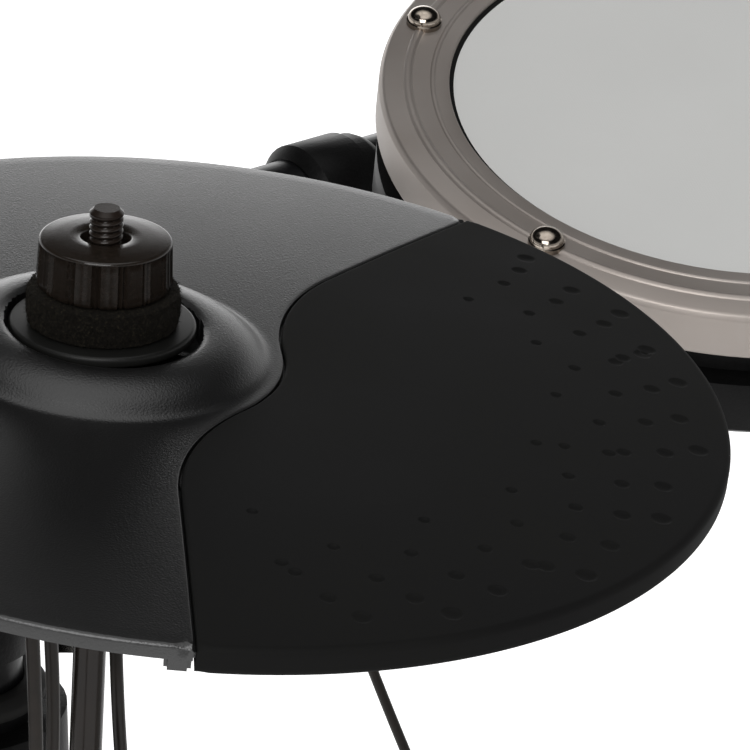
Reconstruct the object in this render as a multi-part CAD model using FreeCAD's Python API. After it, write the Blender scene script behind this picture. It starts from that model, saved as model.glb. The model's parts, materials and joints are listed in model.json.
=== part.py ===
import FreeCAD, Part
import math
import os

V = FreeCAD.Vector
ORIGIN = V(0, 0, 0)
UP = V(0, 0, 1)

# Driving dimensions, in millimetres and degrees. The origin is under the kick tower, on the floor,
# with X to the drummer's right and Y away from the drummer.

# Clearances and cuts
overrun = 1.0
tube_fit = 0.05
glue_line = 0.05
seat_gap = 0.1
turn_gap = 0.3
screw_gap = 0.3

# Rack tubes, posts and bars
tube_radius = 19.0
tube_wall = 1.6
extension_radius = 15.0
extension_wall = 1.4
bar_height = 773.0
post_top = 860.0
left_rear = (-511.0, -548.0)
left_front = (-573.0, -170.0)
centre_front = (0.0, 39.0)
right_front = (573.0, -170.0)
right_rear = (511.0, -548.0)
post_places = (left_rear, left_front, centre_front, right_front, right_rear)
extension_low = 640.0
extension_top = 938.0
foot_radius = 25.0
foot_height = 34.0
foot_sole = 6.0
cap_flange = 21.0
cap_height = 5.0
cap_plug = 22.0

# Clamps and wing bolts
clamp_wall = 7.0
clamp_half = 34.0
socket_reach = 84.0
bar_start = 32.0
arm_clamp_half = 21.0
arm_offset = 37.0
web_radius = 11.0
collar_height = 22.0
collar_wall = 3.5
collar_place = 886.0
collar_shares = (0.951, -0.309, 0.0)
stop_share = 0.5195
stop_length = 25.0
stop_wall = 4.8
stop_round = 4.0
stop_lip_length = 9.0
stop_lip_wall = 3.4
bolt_radius = 3.0
bolt_head_radius = 6.5
bolt_head_height = 9.0
wing_span = 34.0
wing_thick = 4.5
wing_height = 13.0

# Cymbal pads
pad_radius = 127.6
bell_offset = 21.2
bell_radius = 39.6
mouth_radius = 23.4
mouth_height = 7.7
mouth_land = 1.9
bell_foot = 1.1
bell_sink = 0.8
bell_lap = 2.0
edge_height = -1.8
bow_crown = 1.5
edge_thick = 3.5
edge_band = 9.0
edge_round = 1.0
skin = 3.0
hub_radius = 8.0
hub_half = 4.5
hub_bore = 5.4
floor_half = 1.5
well_wall = 2.4
zone_inner = 43.4
zone_corner = 60.0
zone_half_angle = 70.0
zone_apex = 15.8
zone_gap = 0.6
pocket_depth = 2.2
zone_rise = 0.3
lip_wrap = 1.4
lip_proud = 0.7
lip_drop = 6.4
lip_round = 1.6
ridge_width = 1.0
ridge_rise = 0.25
dimples = 56
dimple_span = 124.0
dimple_start = 72.0
dimple_reach = 49.0
dimple_least = 1.3
dimple_most = 2.5
dimple_depth = 0.45
dimple_shares = (0.7549, 0.5698)
base_radius = 56.0
base_wall = 2.2
base_low = -20.2
base_bore = 17.0
sensor_radius = 13.5
sensor_thick = 0.8
sensor_foam = 5.0
sensor_place = 36.0
jack_places = (28.0, 39.0)
jack_angle = -124.0
jack_radius = 3.6
plug_radius = 3.4
plug_length = 17.0
plug_neck_radius = 2.6
plug_neck_length = 7.0

# Cymbal rods, seats, felts and knobs
rod_radius = 4.0
rod_above = 36.3
rod_tip_chamfer = 1.0
seat_radius = 22.0
seat_thick = 2.6
seat_low = 5.4
sleeve_radius = 9.0
sleeve_flange = 14.0
sleeve_flange_thick = 3.0
sleeve_length = 16.0
felt_radius = 18.3
felt_thick = 8.7
knob_radius = 16.0
knob_height = 12.6
knob_chamfer = 1.6
knob_flutes = 15
knob_flute_radius = 2.0
knob_bore_radius = 5.7
knob_bore_depth = 3.0

# Featured cymbal pad: its pivot, its rod's lean, its own rest lean and its strike zone's bearing
hihat_pivot = (-488.3, -609.8, 978.2)
hihat_rod_shares = (0.0582, -0.0189, 1.0)
hihat_lean_shares = (0.1015, -0.0596, 1.0)
hihat_zone_angle = -32.5
hihat_rod_length = 145.0
hihat_tube_radius = 11.0
hihat_tube_length = 217.0
hihat_clamp_drop = 291.0

# Crash and ride: pivots, rod leans and booms
crash_pivot = (-470.0, -150.0, 1185.0)
crash_rod_shares = (0.12, -0.2, 1.0)
crash_zone_angle = -62.0
ride_pivot = (480.0, -160.0, 1130.0)
ride_rod_shares = (-0.14, -0.22, 1.0)
ride_zone_angle = -120.0
boom_radius = 12.5
boom_low = 700.0
boom_knuckle = 17.0
boom_arm_radius = 8.0
boom_rise = 1040.0
boom_collar_height = 20.0
cymbal_rod_length = 70.0

# Drum pads: local heights are from the head
tom_head = 93.0
snare_head = 117.0
head_thick = 0.6
head_skirt = 7.0
gutter = 2.4
lip_width = 5.1
hoop_width = 25.0
hoop_rise = 3.2
ridge_height = 1.2
hoop_wall_height = 18.0
hoop_wall = 2.5
shell_neck_inset = 6.5
shell_neck_height = 12.0
shell_cavity_inset = 3.0
shell_foot_chamfer = 3.0
shell_depth = 48.0
shell_floor = 3.0
shell_inset = 1.5
tension_bolts = 5
tension_inset = 9.5
tension_head_radius = 6.0
tension_head_height = 4.6
tension_shank = 3.0
tension_length = 32.0
tension_phase = 144.0
cone_base_radius = 24.0
cone_top_radius = 11.0
plate_radius = 46.0
plate_thick = 2.0
pillar_radius = 8.0
piezo_radius = 17.5
piezo_thick = 0.7
cone_height = 20.0
bracket_width = 44.0
bracket_depth = 25.0
bracket_height = 28.0
pad_socket_radius = 3.6
pad_socket_share = 0.72
arm_radius = 8.0
arm_reach = 50.0
arm_tail = 36.0
arm_past = 26.0
arm_bend_share = 0.25

tom1_place = (-175.8, -240.2, 867.2)
tom1_lean_shares = (0.0065, -0.2613, 1.0)
tom2_place = (175.8, -240.2, 867.2)
tom2_lean_shares = (-0.0065, -0.2613, 1.0)
tom3_place = (362.0, -480.0, 842.0)
tom3_lean_shares = (-0.12, -0.17, 1.0)
snare_place = (-170.0, -720.0, 690.0)
snare_lean_shares = (0.0, -0.09, 1.0)
snare_clamp_height = 600.0
snare_offset_shares = (0.55, 0.83, 0.0)
tom3_clamp_share = 0.6
tom_clamp_share = 0.765

# Kick tower and pedal
plate_width = 320.0
plate_length = 208.0
plate_rear = 8.0
plate_thick_floor = 6.0
notch_width = 112.0
notch_length = 96.0
column_width = 34.0
column_depth = 24.0
column_spread = 62.0
drum_radius = 92.0
drum_depth = 46.0
drum_height = 285.0
drum_setback = 70.0
drum_wall = 4.0
face_thick = 14.0
face_proud = 4.0
tie_radius = 12.0
pedal_width = 94.0
pedal_length = 292.0
pedal_thick = 5.0
pedal_front = -107.0
jaw_width = 46.0
jaw_reach = 24.0
jaw_thick = 8.0
pedal_post_width = 16.0
pedal_post_depth = 24.0
pedal_post_height = 205.0
pedal_post_setback = 18.0
axle_radius = 5.0
axle_height = 190.0
hub_width = 30.0
cam_radius = 20.0
shaft_radius = 4.0
shaft_length = 148.0
shaft_angle = 40.0
beater_radius = 24.0
beater_length = 34.0
heel_setback = 20.0
heel_pin_radius = 4.0
heel_pin_height = 20.0
heel_lug_width = 10.0
heel_side_gap = 0.5
heel_lug_depth = 26.0
heel_hub_radius = 9.0
board_width = 54.0
board_length = 262.0
board_thick = 6.0
board_angle = 17.0
board_ribs = 10
board_rib_width = 5.0
board_rib_rise = 1.6
board_rib_margin_share = 0.84

# Foot controller
control_place = (-330.0, -690.0)
control_width = 96.0
control_length = 285.0
control_board_width = 64.0
control_board_length = 240.0
control_board_angle = 12.0
control_tower_depth = 46.0
control_tower_height = 32.0

# Sound module
module_place = (-690.0, -560.0, 905.0)
module_turn = 20.0
module_slope = 32.0
module_width = 205.0
module_length = 150.0
module_thick = 46.0
module_corner = 9.0
module_wall = 2.5
panel_inset = 6.0
panel_thick = 1.6
screen_width = 66.0
screen_length = 34.0
screen_thick = 1.2
dial_radius = 17.0
dial_height = 13.0
volume_radius = 9.0
volume_height = 14.0
spindle_radius = 3.0
key_radius = 6.5
key_height = 4.2
bracket_plate_thick = 5.0
bracket_arm_radius = 9.0
socket_pitch = 22.0
bracket_plate_width = 96.0
bracket_plate_length = 70.0
bracket_height_on_post = 835.0
bracket_bolt_shares = (0.0, 1.0, 0.0)
key_proud = 2.4
knob_gap = 0.4
spindle_length = 12.0
screen_share = 0.24
screen_rise_share = 0.18
dial_share = 0.27
volume_share = -0.36
volume_drop_share = -0.22
key_shares = (-0.12, 0.02)
key_drop_share = -0.22

# Cords: the points of each route between its two plugs
cord_diameter = 3.4
cord_bend_share = 0.45
cord_gap = 0.8
tilt_cord_gap = 3.4
hihat_cord_a_route = (
    (-508.0, -635.5, 905.0), (-511.0, -635.0, 866.0), (-516.0, -632.0, 828.0), (-526.0, -623.0, 794.0),
    (-538.0, -605.0, 771.0), (-547.0, -579.0, 764.0), (-551.0, -552.0, 773.0), (-550.0, -529.0, 795.0),
    (-546.0, -518.0, 825.0), (-544.0, -519.0, 853.0), (-552.0, -526.5, 867.5))
hihat_cord_b_route = (
    (-515.0, -645.5, 900.0), (-518.0, -647.0, 856.0), (-523.0, -646.0, 814.0), (-533.0, -638.0, 779.0),
    (-546.0, -618.0, 754.0), (-557.0, -588.0, 744.0), (-563.0, -556.0, 750.0), (-563.0, -526.0, 774.0),
    (-558.0, -507.0, 808.0), (-551.0, -501.0, 844.0), (-551.0, -503.0, 871.0), (-560.0, -509.5, 880.0))
control_cord_route = (
    (-562.0, -490.5, 893.0), (-535.0, -484.0, 902.0), (-508.0, -487.0, 912.0), (-485.0, -504.0, 922.0),
    (-474.0, -530.0, 927.0), (-474.0, -557.0, 922.0), (-479.0, -580.0, 905.0), (-482.0, -591.0, 877.0),
    (-480.0, -587.0, 846.0), (-474.0, -581.0, 808.0), (-467.0, -577.0, 766.0), (-461.0, -573.5, 720.0),
    (-457.0, -571.0, 672.0), (-454.0, -569.0, 622.0), (-452.0, -566.0, 572.0), (-450.0, -562.0, 522.0),
    (-448.5, -557.0, 472.0), (-447.0, -551.0, 422.0), (-445.0, -545.0, 372.0), (-442.0, -538.0, 322.0),
    (-438.0, -531.0, 272.0), (-433.0, -524.0, 222.0), (-427.0, -517.0, 172.0), (-419.0, -510.0, 124.0),
    (-408.0, -502.0, 80.0), (-393.0, -493.0, 44.0), (-371.0, -483.0, 20.0), (-348.0, -480.0, 11.0),
    (-333.0, -491.0, 14.0), (-330.0, -512.0, 18.0))
tom_cord_route = (
    (-111.5, -211.9, 757.8), (-117.5, -214.0, 712.0), (-133.5, -234.0, 668.0), (-158.0, -264.0, 630.0),
    (-188.0, -295.0, 606.0), (-222.0, -322.0, 595.0), (-258.0, -340.0, 603.0), (-290.0, -348.0, 628.0),
    (-312.0, -346.0, 668.0), (-325.0, -336.0, 706.0), (-336.0, -326.0, 742.0), (-352.0, -328.0, 780.0),
    (-376.0, -346.0, 812.0), (-406.0, -370.0, 840.0), (-438.0, -396.0, 864.0), (-472.0, -421.0, 884.0),
    (-508.0, -444.0, 897.0), (-542.0, -461.0, 904.0), (-568.0, -473.0, 904.5))


def unit(vector):
    """The direction of a vector."""
    return vector * (1.0 / vector.Length)


def bar(start, end, radius):
    """A solid round bar between two points."""
    return Part.makeCylinder(radius, (end - start).Length, start, end - start)


def pipe(start, end, radius, wall):
    """A round tube between two points."""
    way = unit(end - start) * overrun
    return bar(start, end, radius).cut(bar(start - way, end + way, radius - wall))


def outline(start, steps):
    """A closed outline in the XZ plane of straight steps and of arcs given as (middle, end)."""
    edges = []
    here = V(start[0], 0, start[1])
    for step in steps + [start]:
        if isinstance(step[0], tuple):
            middle, there = (V(p[0], 0, p[1]) for p in step)
            edges.append(Part.Arc(here, middle, there).toShape())
        else:
            there = V(step[0], 0, step[1])
            edges.append(Part.LineSegment(here, there).toShape())
        here = there
    return Part.Wire(edges)


def lathe(start, steps):
    """A solid turned about Z from its outline."""
    return Part.Face(outline(start, steps)).revolve(ORIGIN, UP, 360)


def block(width, length, height, low_centre):
    """A box standing on the centre of its base."""
    corner = low_centre - V(width / 2, length / 2, 0)
    return Part.makeBox(width, length, height, corner)


def leaning(shares):
    """The unit vector of a lean."""
    return unit(V(*shares))


def set_on(shape, place, axis):
    """A shape built about Z, turned so that Z becomes the axis, and moved to its place."""
    return shape.transformed(FreeCAD.Placement(place, FreeCAD.Rotation(UP, axis)).toMatrix())


def spread(angle, radius):
    """A point at an angle and a radius in the XY plane."""
    turn = math.radians(angle)
    return V(radius * math.cos(turn), radius * math.sin(turn), 0)


def swept(points, radius, share):
    """A round bar of straight runs and tangent arcs, with its length and its least bend."""
    edges = []
    here = points[0]
    bends = []
    for before, corner, after in zip(points, points[1:], points[2:]):
        back = unit(before - corner)
        on = unit(after - corner)
        half_turn = (math.pi - back.getAngle(on)) / 2
        cut = share * min((before - corner).Length, (after - corner).Length)
        bend = cut / math.tan(half_turn)
        bends.append(bend)
        middle = corner + unit(back + on) * (bend / math.cos(half_turn) - bend)
        start = corner + back * cut
        end = corner + on * cut
        edges += [Part.LineSegment(here, start).toShape(), Part.Arc(start, middle, end).toShape()]
        here = end
    edges.append(Part.LineSegment(here, points[-1]).toShape())
    spine = Part.Wire(edges)
    section = Part.Wire(Part.makeCircle(radius, points[0], points[1] - points[0]))
    return spine.makePipeShell([section], True, False), spine.Length, min(bends)


def fused(shapes):
    """Several shapes joined in one solid."""
    return shapes[0].multiFuse(shapes[1:]).removeSplitter()


def bow_height(radius):
    """The height of a cymbal pad's bow at a radius from the disc's middle."""
    run = radius / pad_radius
    return bell_foot + (edge_height - bell_foot) * run + 4 * bow_crown * run * (1 - run)


def bow_arc(inner, outer, shift):
    """The arc of the bow between two radii, moved up by a shift."""
    middle = (inner + outer) / 2
    return ((middle, bow_height(middle) + shift), (outer, bow_height(outer) + shift))


def zone_prism(grow, low, high):
    """The strike zone's plan, grown by an even margin, as a prism with its bearing along X."""
    half = math.radians(zone_half_angle)
    centre_radius = zone_inner + zone_corner
    centre_angle = half - math.asin((zone_corner + zone_apex * math.sin(half)) / centre_radius)
    reach = pad_radius + bell_offset
    halves = []
    for side in (1, -1):
        along = V(math.cos(half), side * math.sin(half), 0)
        outward = V(-math.sin(half), side * math.cos(half), 0)
        inward = V(-math.cos(centre_angle), -side * math.sin(centre_angle), 0)
        centre = inward * -centre_radius
        near = centre + inward * (zone_corner + grow)
        middle = centre + unit(inward + outward) * (zone_corner + grow)
        line = centre + outward * (zone_corner + grow)
        halves.append((near, middle, line, line + along * reach))
    left, right = halves
    far = V(left[3].Length, 0, 0)
    edges = [Part.Arc(right[0], V(zone_inner - grow, 0, 0), left[0]).toShape(),
             Part.Arc(left[0], left[1], left[2]).toShape(),
             Part.LineSegment(left[2], left[3]).toShape(),
             Part.Arc(left[3], far, right[3]).toShape(),
             Part.LineSegment(right[3], right[2]).toShape(),
             Part.Arc(right[2], right[1], right[0]).toShape()]
    prism = Part.Face(Part.Wire(edges)).extrude(UP * (high - low))
    return prism.translated(UP * low)


def off_bell(shape):
    """A shape built about the disc's middle, moved off the bell's axis, its seam at the back."""
    return shape.rotated(ORIGIN, UP, 180).translated(V(bell_offset, 0, 0))


def cymbal_bow():
    """The moulded bow with its bell off its middle, its hub and the pocket of the strike zone."""
    dome_foot = bell_foot - bell_sink
    dome_radius = ((bell_radius - mouth_radius - mouth_land) ** 2 + (mouth_height - dome_foot) ** 2)
    dome_radius = dome_radius / (2 * (mouth_height - dome_foot))
    crown = mouth_radius + mouth_land
    half_turn = math.asin((bell_radius - crown) / dome_radius) / 2
    dome_middle = (crown + dome_radius * math.sin(half_turn),
                   mouth_height - dome_radius * (1 - math.cos(half_turn)))
    bell = lathe((hub_bore, hub_half), [
        (hub_radius, hub_half), (hub_radius, floor_half), (mouth_radius, floor_half),
        (mouth_radius, mouth_height), (crown, mouth_height), (dome_middle, (bell_radius, dome_foot)),
        (bell_radius, bell_foot - skin), (mouth_radius + well_wall, -floor_half), (hub_radius, -floor_half),
        (hub_radius, -hub_half), (hub_bore, -hub_half)])
    top = mouth_height
    low = edge_height - lip_drop - overrun
    band = pad_radius - edge_band
    core = (bell_radius - bell_lap - bell_offset) / 2
    plate = lathe((core, bow_height(core)), [
        bow_arc(core, pad_radius - edge_round, 0), (pad_radius, edge_height - edge_round),
        (pad_radius, edge_height - edge_thick), (band, bow_height(band) - edge_thick),
        (band, bow_height(band) - skin), bow_arc(band, core, -skin)])
    shell = off_bell(plate).cut(bar(UP * low, UP * top, bell_radius - bell_lap)).fuse(bell)
    pocket_low = zone_inner - zone_gap - ridge_width - bell_offset - overrun
    ring_start = pad_radius - lip_wrap
    outside = pad_radius + lip_proud + overrun
    band_ridge = lathe((pocket_low, bow_height(pocket_low) - skin / 2), [
        bow_arc(pocket_low, pad_radius - edge_round, -skin / 2),
        (pad_radius - edge_round, bow_height(pad_radius - edge_round) + ridge_rise),
        bow_arc(pad_radius - edge_round, pocket_low, ridge_rise)])
    ridge = off_bell(band_ridge).common(zone_prism(zone_gap + ridge_width, low, top))
    pocket = lathe((pocket_low, bow_height(pocket_low) - pocket_depth), [
        bow_arc(pocket_low, ring_start, -pocket_depth), (ring_start, low), (outside, low),
        (outside, top), (pocket_low, top)])
    pocket = off_bell(pocket).common(zone_prism(zone_gap, low, top))
    return shell.fuse(ridge).cut(pocket)


def cymbal_rubber():
    """The rubber of the strike zone, lipped over the edge, with scattered shallow dimples."""
    ring_start = pad_radius - lip_wrap + glue_line
    edge = pad_radius + lip_proud
    low = edge_height - lip_drop
    lift = glue_line - pocket_depth
    inner = zone_inner - bell_offset - overrun
    body = lathe((inner, bow_height(inner) + lift), [
        bow_arc(inner, ring_start, lift), (ring_start, low), (edge - lip_round, low),
        (edge, low + lip_round), (edge, edge_height - lip_round),
        (edge - lip_round, bow_height(edge - lip_round) + zone_rise),
        bow_arc(edge - lip_round, inner, zone_rise)])
    rubber = off_bell(body).common(zone_prism(0, low - overrun, mouth_height))
    dots = []
    for count in range(dimples):
        round_share, out_share = (count * share % 1 for share in dimple_shares)
        bearing = (round_share - 1 / 2) * dimple_span
        out = dimple_start + dimple_reach * math.sqrt(out_share)
        mouth = dimple_least + (dimple_most - dimple_least) * out_share
        ball = (mouth ** 2 + dimple_depth ** 2) / (2 * dimple_depth)
        centre = spread(bearing, out) + UP * (bow_height(out) + zone_rise + ball - dimple_depth)
        dots.append(Part.makeSphere(ball, centre + V(bell_offset, 0, 0)))
    return rubber.cut(Part.makeCompound(dots))


def cymbal_base(jacks):
    """The base housing under the bell, with a hole for each plug."""
    top = bow_height(base_radius + bell_offset) - skin - seat_gap
    floor = base_low + base_wall
    shell = lathe((base_bore, base_low), [
        (base_radius - base_wall, base_low), (base_radius, base_low + base_wall), (base_radius, top),
        (base_radius - base_wall, top), (base_radius - base_wall, floor), (base_bore, floor)])
    for place in jacks:
        foot = spread(jack_angle, place) + UP * (base_low - overrun)
        shell = shell.cut(bar(foot, foot + UP * (base_wall + 2 * overrun), jack_radius))
    return shell


def cymbal_sensor():
    """The sensing disc on its foam, on the floor of the base housing."""
    foot = V(sensor_place, 0, base_low + base_wall)
    foam = bar(foot, foot + UP * sensor_foam, sensor_radius - base_wall)
    disc = bar(foot + UP * sensor_foam, foot + UP * (sensor_foam + sensor_thick), sensor_radius)
    return Part.makeCompound([foam, disc])


def jack_plugs():
    """The plugs in a base housing, with their necks hanging."""
    plugs = []
    for place in jack_places:
        top = spread(jack_angle, place) + UP * (base_low + base_wall)
        neck = top - UP * plug_length
        plugs.append(fused([bar(top, neck, plug_radius),
                            bar(neck, neck - UP * plug_neck_length, plug_neck_radius)]))
    return plugs


def rod(length):
    """A cymbal rod about its pivot, with its threaded end above."""
    top = rod_above - rod_tip_chamfer
    return lathe((0, -length), [(rod_radius, -length), (rod_radius, top),
                                (rod_radius - rod_tip_chamfer, rod_above), (0, rod_above)])


def seats():
    """The seat disc over the hub and the flanged sleeve under it."""
    bore = rod_radius + tube_fit
    low = -seat_low
    disc = lathe((bore, seat_low), [(seat_radius, seat_low), (seat_radius, seat_low + seat_thick),
                                    (bore, seat_low + seat_thick)])
    sleeve = lathe((bore, low), [(sleeve_flange, low), (sleeve_flange, low - sleeve_flange_thick),
                                 (sleeve_radius, low - sleeve_flange_thick),
                                 (sleeve_radius, low - sleeve_length), (bore, low - sleeve_length)])
    return Part.makeCompound([disc, sleeve])


def felt():
    """The felt washer between the seat disc and the knob."""
    low = seat_low + seat_thick
    bore = rod_radius + screw_gap
    high = low + felt_thick
    return lathe((bore, low), [(felt_radius, low), (felt_radius, high), (bore, high)])


def knob():
    """The fluted knob with the counterbore round the rod's end."""
    low = seat_low + seat_thick + felt_thick + seat_gap
    high = low + knob_height
    bore = rod_radius + screw_gap
    body = lathe((bore, low), [
        (knob_radius - knob_chamfer, low), (knob_radius, low + knob_chamfer),
        (knob_radius, high - knob_chamfer), (knob_radius - knob_chamfer, high), (knob_bore_radius, high),
        (knob_bore_radius, high - knob_bore_depth), (bore, high - knob_bore_depth)])
    flutes = []
    for flute in range(knob_flutes):
        foot = spread(flute * 360 / knob_flutes, knob_radius + knob_flute_radius / 2)
        foot = foot + UP * (low - overrun)
        flutes.append(bar(foot, foot + UP * (knob_height + 2 * overrun), knob_flute_radius))
    return body.cut(Part.makeCompound(flutes))


def hoop(head):
    """The stepped tension hoop round a head."""
    inner = head + gutter
    outer = head + hoop_width
    lip = inner + lip_width
    band = (lip + outer) / 2
    base = -head_thick - seat_gap
    return lathe((inner, seat_gap), [
        (inner, hoop_rise - ridge_height), (lip - ridge_height, hoop_rise), (lip, hoop_rise + ridge_height),
        (lip + ridge_height, hoop_rise), (band, hoop_rise - ridge_height),
        (band + ridge_height, hoop_rise), (band + 2 * ridge_height, hoop_rise - ridge_height),
        (outer - ridge_height, hoop_rise - 2 * ridge_height), (outer, hoop_rise - 3 * ridge_height),
        (outer, hoop_rise - hoop_wall_height), (outer - hoop_wall, hoop_rise - hoop_wall_height),
        (outer - hoop_wall, base), (lip, base), (lip, seat_gap)])


def head_edges(head):
    """The radii of a head's outer edge and of the inside of its skirt."""
    edge = head + gutter + lip_width - seat_gap
    return edge, edge - 2 * head_thick


def mesh_head(head):
    """A mesh head with its skirt turned down over the bearing edge."""
    edge, skirt = head_edges(head)
    return lathe((0, -head_thick), [(skirt, -head_thick), (skirt, -head_skirt), (edge, -head_skirt),
                                    (edge, 0), (0, 0)])


def tension_places(head):
    """The places of a pad's tension bolts round its hoop."""
    circle = head + hoop_width - tension_inset
    return [spread(tension_phase + bolt * 360 / tension_bolts, circle) for bolt in range(tension_bolts)]


def bolt_holes(head):
    """The clearance holes of a pad's tension bolts."""
    foot = UP * -shell_depth
    radius = tension_shank + screw_gap
    return Part.makeCompound([bar(place - UP * (tension_length + overrun), place - foot, radius)
                              for place in tension_places(head)])


def tension_bolt_set(head):
    """The tension bolts of a pad, with domed heads on the hoop."""
    seat = hoop_rise
    dome = tension_head_height / 2
    bolt = lathe((0, seat - tension_length), [
        (tension_shank, seat - tension_length), (tension_shank, seat), (tension_head_radius, seat),
        (tension_head_radius, seat + dome),
        (tension_head_radius - dome, seat + tension_head_height), (0, seat + tension_head_height)])
    return [bolt.translated(place) for place in tension_places(head)]


def pad_hoop(head):
    """A hoop with flat seats under its bolt heads."""
    seats_cut = [bar(place + UP * hoop_rise, place + UP * (hoop_rise + tension_head_height),
                     tension_head_radius + screw_gap) for place in tension_places(head)]
    lands = [bar(place, place + UP * hoop_rise, tension_head_radius + screw_gap)
             for place in tension_places(head)]
    whole = fused([hoop(head)] + lands)
    return whole.cut(Part.makeCompound(seats_cut)).cut(bolt_holes(head))


def pad_shell(head, tilt_axis):
    """A pad's shell with its waist, base ring, socket and arm bracket."""
    skirt = head_edges(head)[1]
    outer = head + hoop_width
    neck = outer - hoop_wall - turn_gap
    waist = neck - shell_neck_inset
    foot = outer - shell_inset
    cavity = head - shell_cavity_inset
    bearing = skirt - seat_gap
    ledge = -head_skirt - seat_gap
    hoop_low = hoop_rise - hoop_wall_height
    base_top = hoop_low - shell_neck_height
    chamfer = shell_foot_chamfer
    body = lathe((0, -shell_depth), [
        (foot - chamfer, -shell_depth), (foot, chamfer - shell_depth), (foot, base_top), (waist, base_top),
        (waist, hoop_low), (neck, hoop_low), (neck, ledge), (bearing, ledge), (bearing, -head_thick),
        (cavity, -head_thick), (cavity, shell_floor - shell_depth), (0, shell_floor - shell_depth)])
    middle = UP * -(shell_depth + bracket_height / 2)
    lug = block(bracket_width, bracket_depth, bracket_height, UP * -(shell_depth + bracket_height))
    lug = lug.rotate(ORIGIN, UP, math.degrees(math.atan2(tilt_axis.y, tilt_axis.x)))
    reach = tilt_axis * bracket_width
    body = fused([body, lug]).cut(bar(middle - reach, middle + reach, arm_radius + turn_gap))
    socket = pad_socket(head)
    body = body.cut(bar(socket, socket + UP * (shell_floor + overrun), pad_socket_radius))
    return body.cut(bolt_holes(head))


def pad_socket(head):
    """The middle of a pad's socket, on the underside of its floor."""
    return V(head * pad_socket_share, 0, -shell_depth)


def pad_sensor():
    """The pillar, plate, sensing disc and foam cone under a head."""
    cone_top = -head_thick - seat_gap
    cone_low = cone_top - cone_height
    disc_low = cone_low - piezo_thick
    plate_low = disc_low - plate_thick
    pillar = bar(UP * (shell_floor - shell_depth), UP * plate_low, pillar_radius)
    plate = bar(UP * plate_low, UP * disc_low, plate_radius)
    disc = bar(UP * disc_low, UP * cone_low, piezo_radius)
    cone = Part.makeCone(cone_base_radius, cone_top_radius, cone_height, UP * cone_low)
    return Part.makeCompound([pillar, plate, disc, cone])


def pad_arm(place, lean, side, hold):
    """An L-shaped arm: through a pad's bracket, round its corner and on past its clamp."""
    axis = unit(UP.cross(lean))
    middle = place - lean * (shell_depth + bracket_height / 2)
    corner = middle + axis * (side * arm_reach)
    tail = middle - axis * (side * arm_tail)
    end = hold + unit(hold - corner) * arm_past
    return swept([tail, corner, end], arm_radius, arm_bend_share)[0], unit(hold - corner)


def tube_clamp(tube, tube_way, tube_size, hold, hold_way, hold_size):
    """A cross clamp: one sleeve on a tube, one on what it holds, and the web between them."""
    half = arm_clamp_half
    sleeves = [bar(tube - tube_way * half, tube + tube_way * half, tube_size + clamp_wall),
               bar(hold - hold_way * half, hold + hold_way * half, hold_size + clamp_wall),
               bar(tube, hold, web_radius)]
    bores = [bar(tube - tube_way * 2 * half, tube + tube_way * 2 * half, tube_size + tube_fit),
             bar(hold - hold_way * 2 * half, hold + hold_way * 2 * half, hold_size + tube_fit)]
    return fused(sleeves).cut(Part.makeCompound(bores))


def wing_bolt(tube, way, tube_size, wall):
    """A wing bolt through a sleeve's wall, and the hole for it."""
    tip = tube + way * (tube_size + screw_gap)
    seat = tube + way * (tube_size + wall + seat_gap)
    wings = block(wing_span, wing_thick, wing_height, UP * (bolt_head_height / 2))
    wings = set_on(wings, seat, way)
    head = bar(seat, seat + way * bolt_head_height, bolt_head_radius)
    bolt = fused([bar(tip, seat, bolt_radius), head, wings])
    hole = bar(tube, seat + way * overrun, bolt_radius + screw_gap)
    return bolt, hole


nodes = {}
clamps = []
wing_bolts = []


def bolted(clamp, tube, way, tube_size, wall):
    """Keeps a clamp with its wing bolt."""
    bolt, hole = wing_bolt(tube, way, tube_size, wall)
    clamps.append(clamp.cut(hole))
    wing_bolts.append(bolt)


# Rack: posts on rubber feet, bars between them and a junction clamp on each post
posts = [V(x, y, 0) for x, y in post_places]
post_tubes = [pipe(post + UP * foot_sole, post + UP * post_top, tube_radius, tube_wall) for post in posts]
post_tubes.append(pipe(posts[0] + UP * extension_low, posts[0] + UP * extension_top,
                       extension_radius, extension_wall))
nodes["rack_posts"] = Part.makeCompound(post_tubes)
level = UP * bar_height
bars = []
for first, second in zip(posts, posts[1:]):
    way = unit(second - first)
    inset = way * bar_start
    bars.append(pipe(first + level + inset, second + level - inset, tube_radius, tube_wall))
nodes["rack_bars"] = Part.makeCompound(bars)
for index, post in enumerate(posts):
    ways = [unit(posts[near] - post) for near in (index - 1, index + 1) if 0 <= near < len(posts)]
    centre = post + level
    sleeves = [bar(centre - UP * clamp_half, centre + UP * clamp_half, tube_radius + clamp_wall)]
    sleeves += [bar(centre, centre + way * socket_reach, tube_radius + clamp_wall) for way in ways]
    bores = [bar(centre - UP * 2 * clamp_half, centre + UP * 2 * clamp_half, tube_radius + tube_fit)]
    bores += [bar(centre + way * (bar_start - seat_gap), centre + way * 2 * socket_reach,
                  tube_radius + tube_fit) for way in ways]
    out = unit(ORIGIN - sum(ways, ORIGIN))
    bolted(fused(sleeves).cut(Part.makeCompound(bores)), centre, out, tube_radius, clamp_wall)
stop_bore = tube_radius + tube_fit
stop_edge = tube_radius + stop_wall
lip_edge = tube_radius + stop_lip_wall
stop_end = stop_length + stop_lip_length
stop = lathe((stop_bore, 0), [
    (stop_edge - stop_round, 0), (stop_edge, stop_round), (stop_edge, stop_length), (lip_edge, stop_length),
    (lip_edge, stop_end - stop_lip_wall), (lip_edge - stop_lip_wall / 2, stop_end), (stop_bore, stop_end)])
for outer in (posts[1], posts[3]):
    run = posts[2] - outer
    clamps.append(set_on(stop, outer + level + run * stop_share, unit(run)))
feet = []
caps = []
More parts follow.
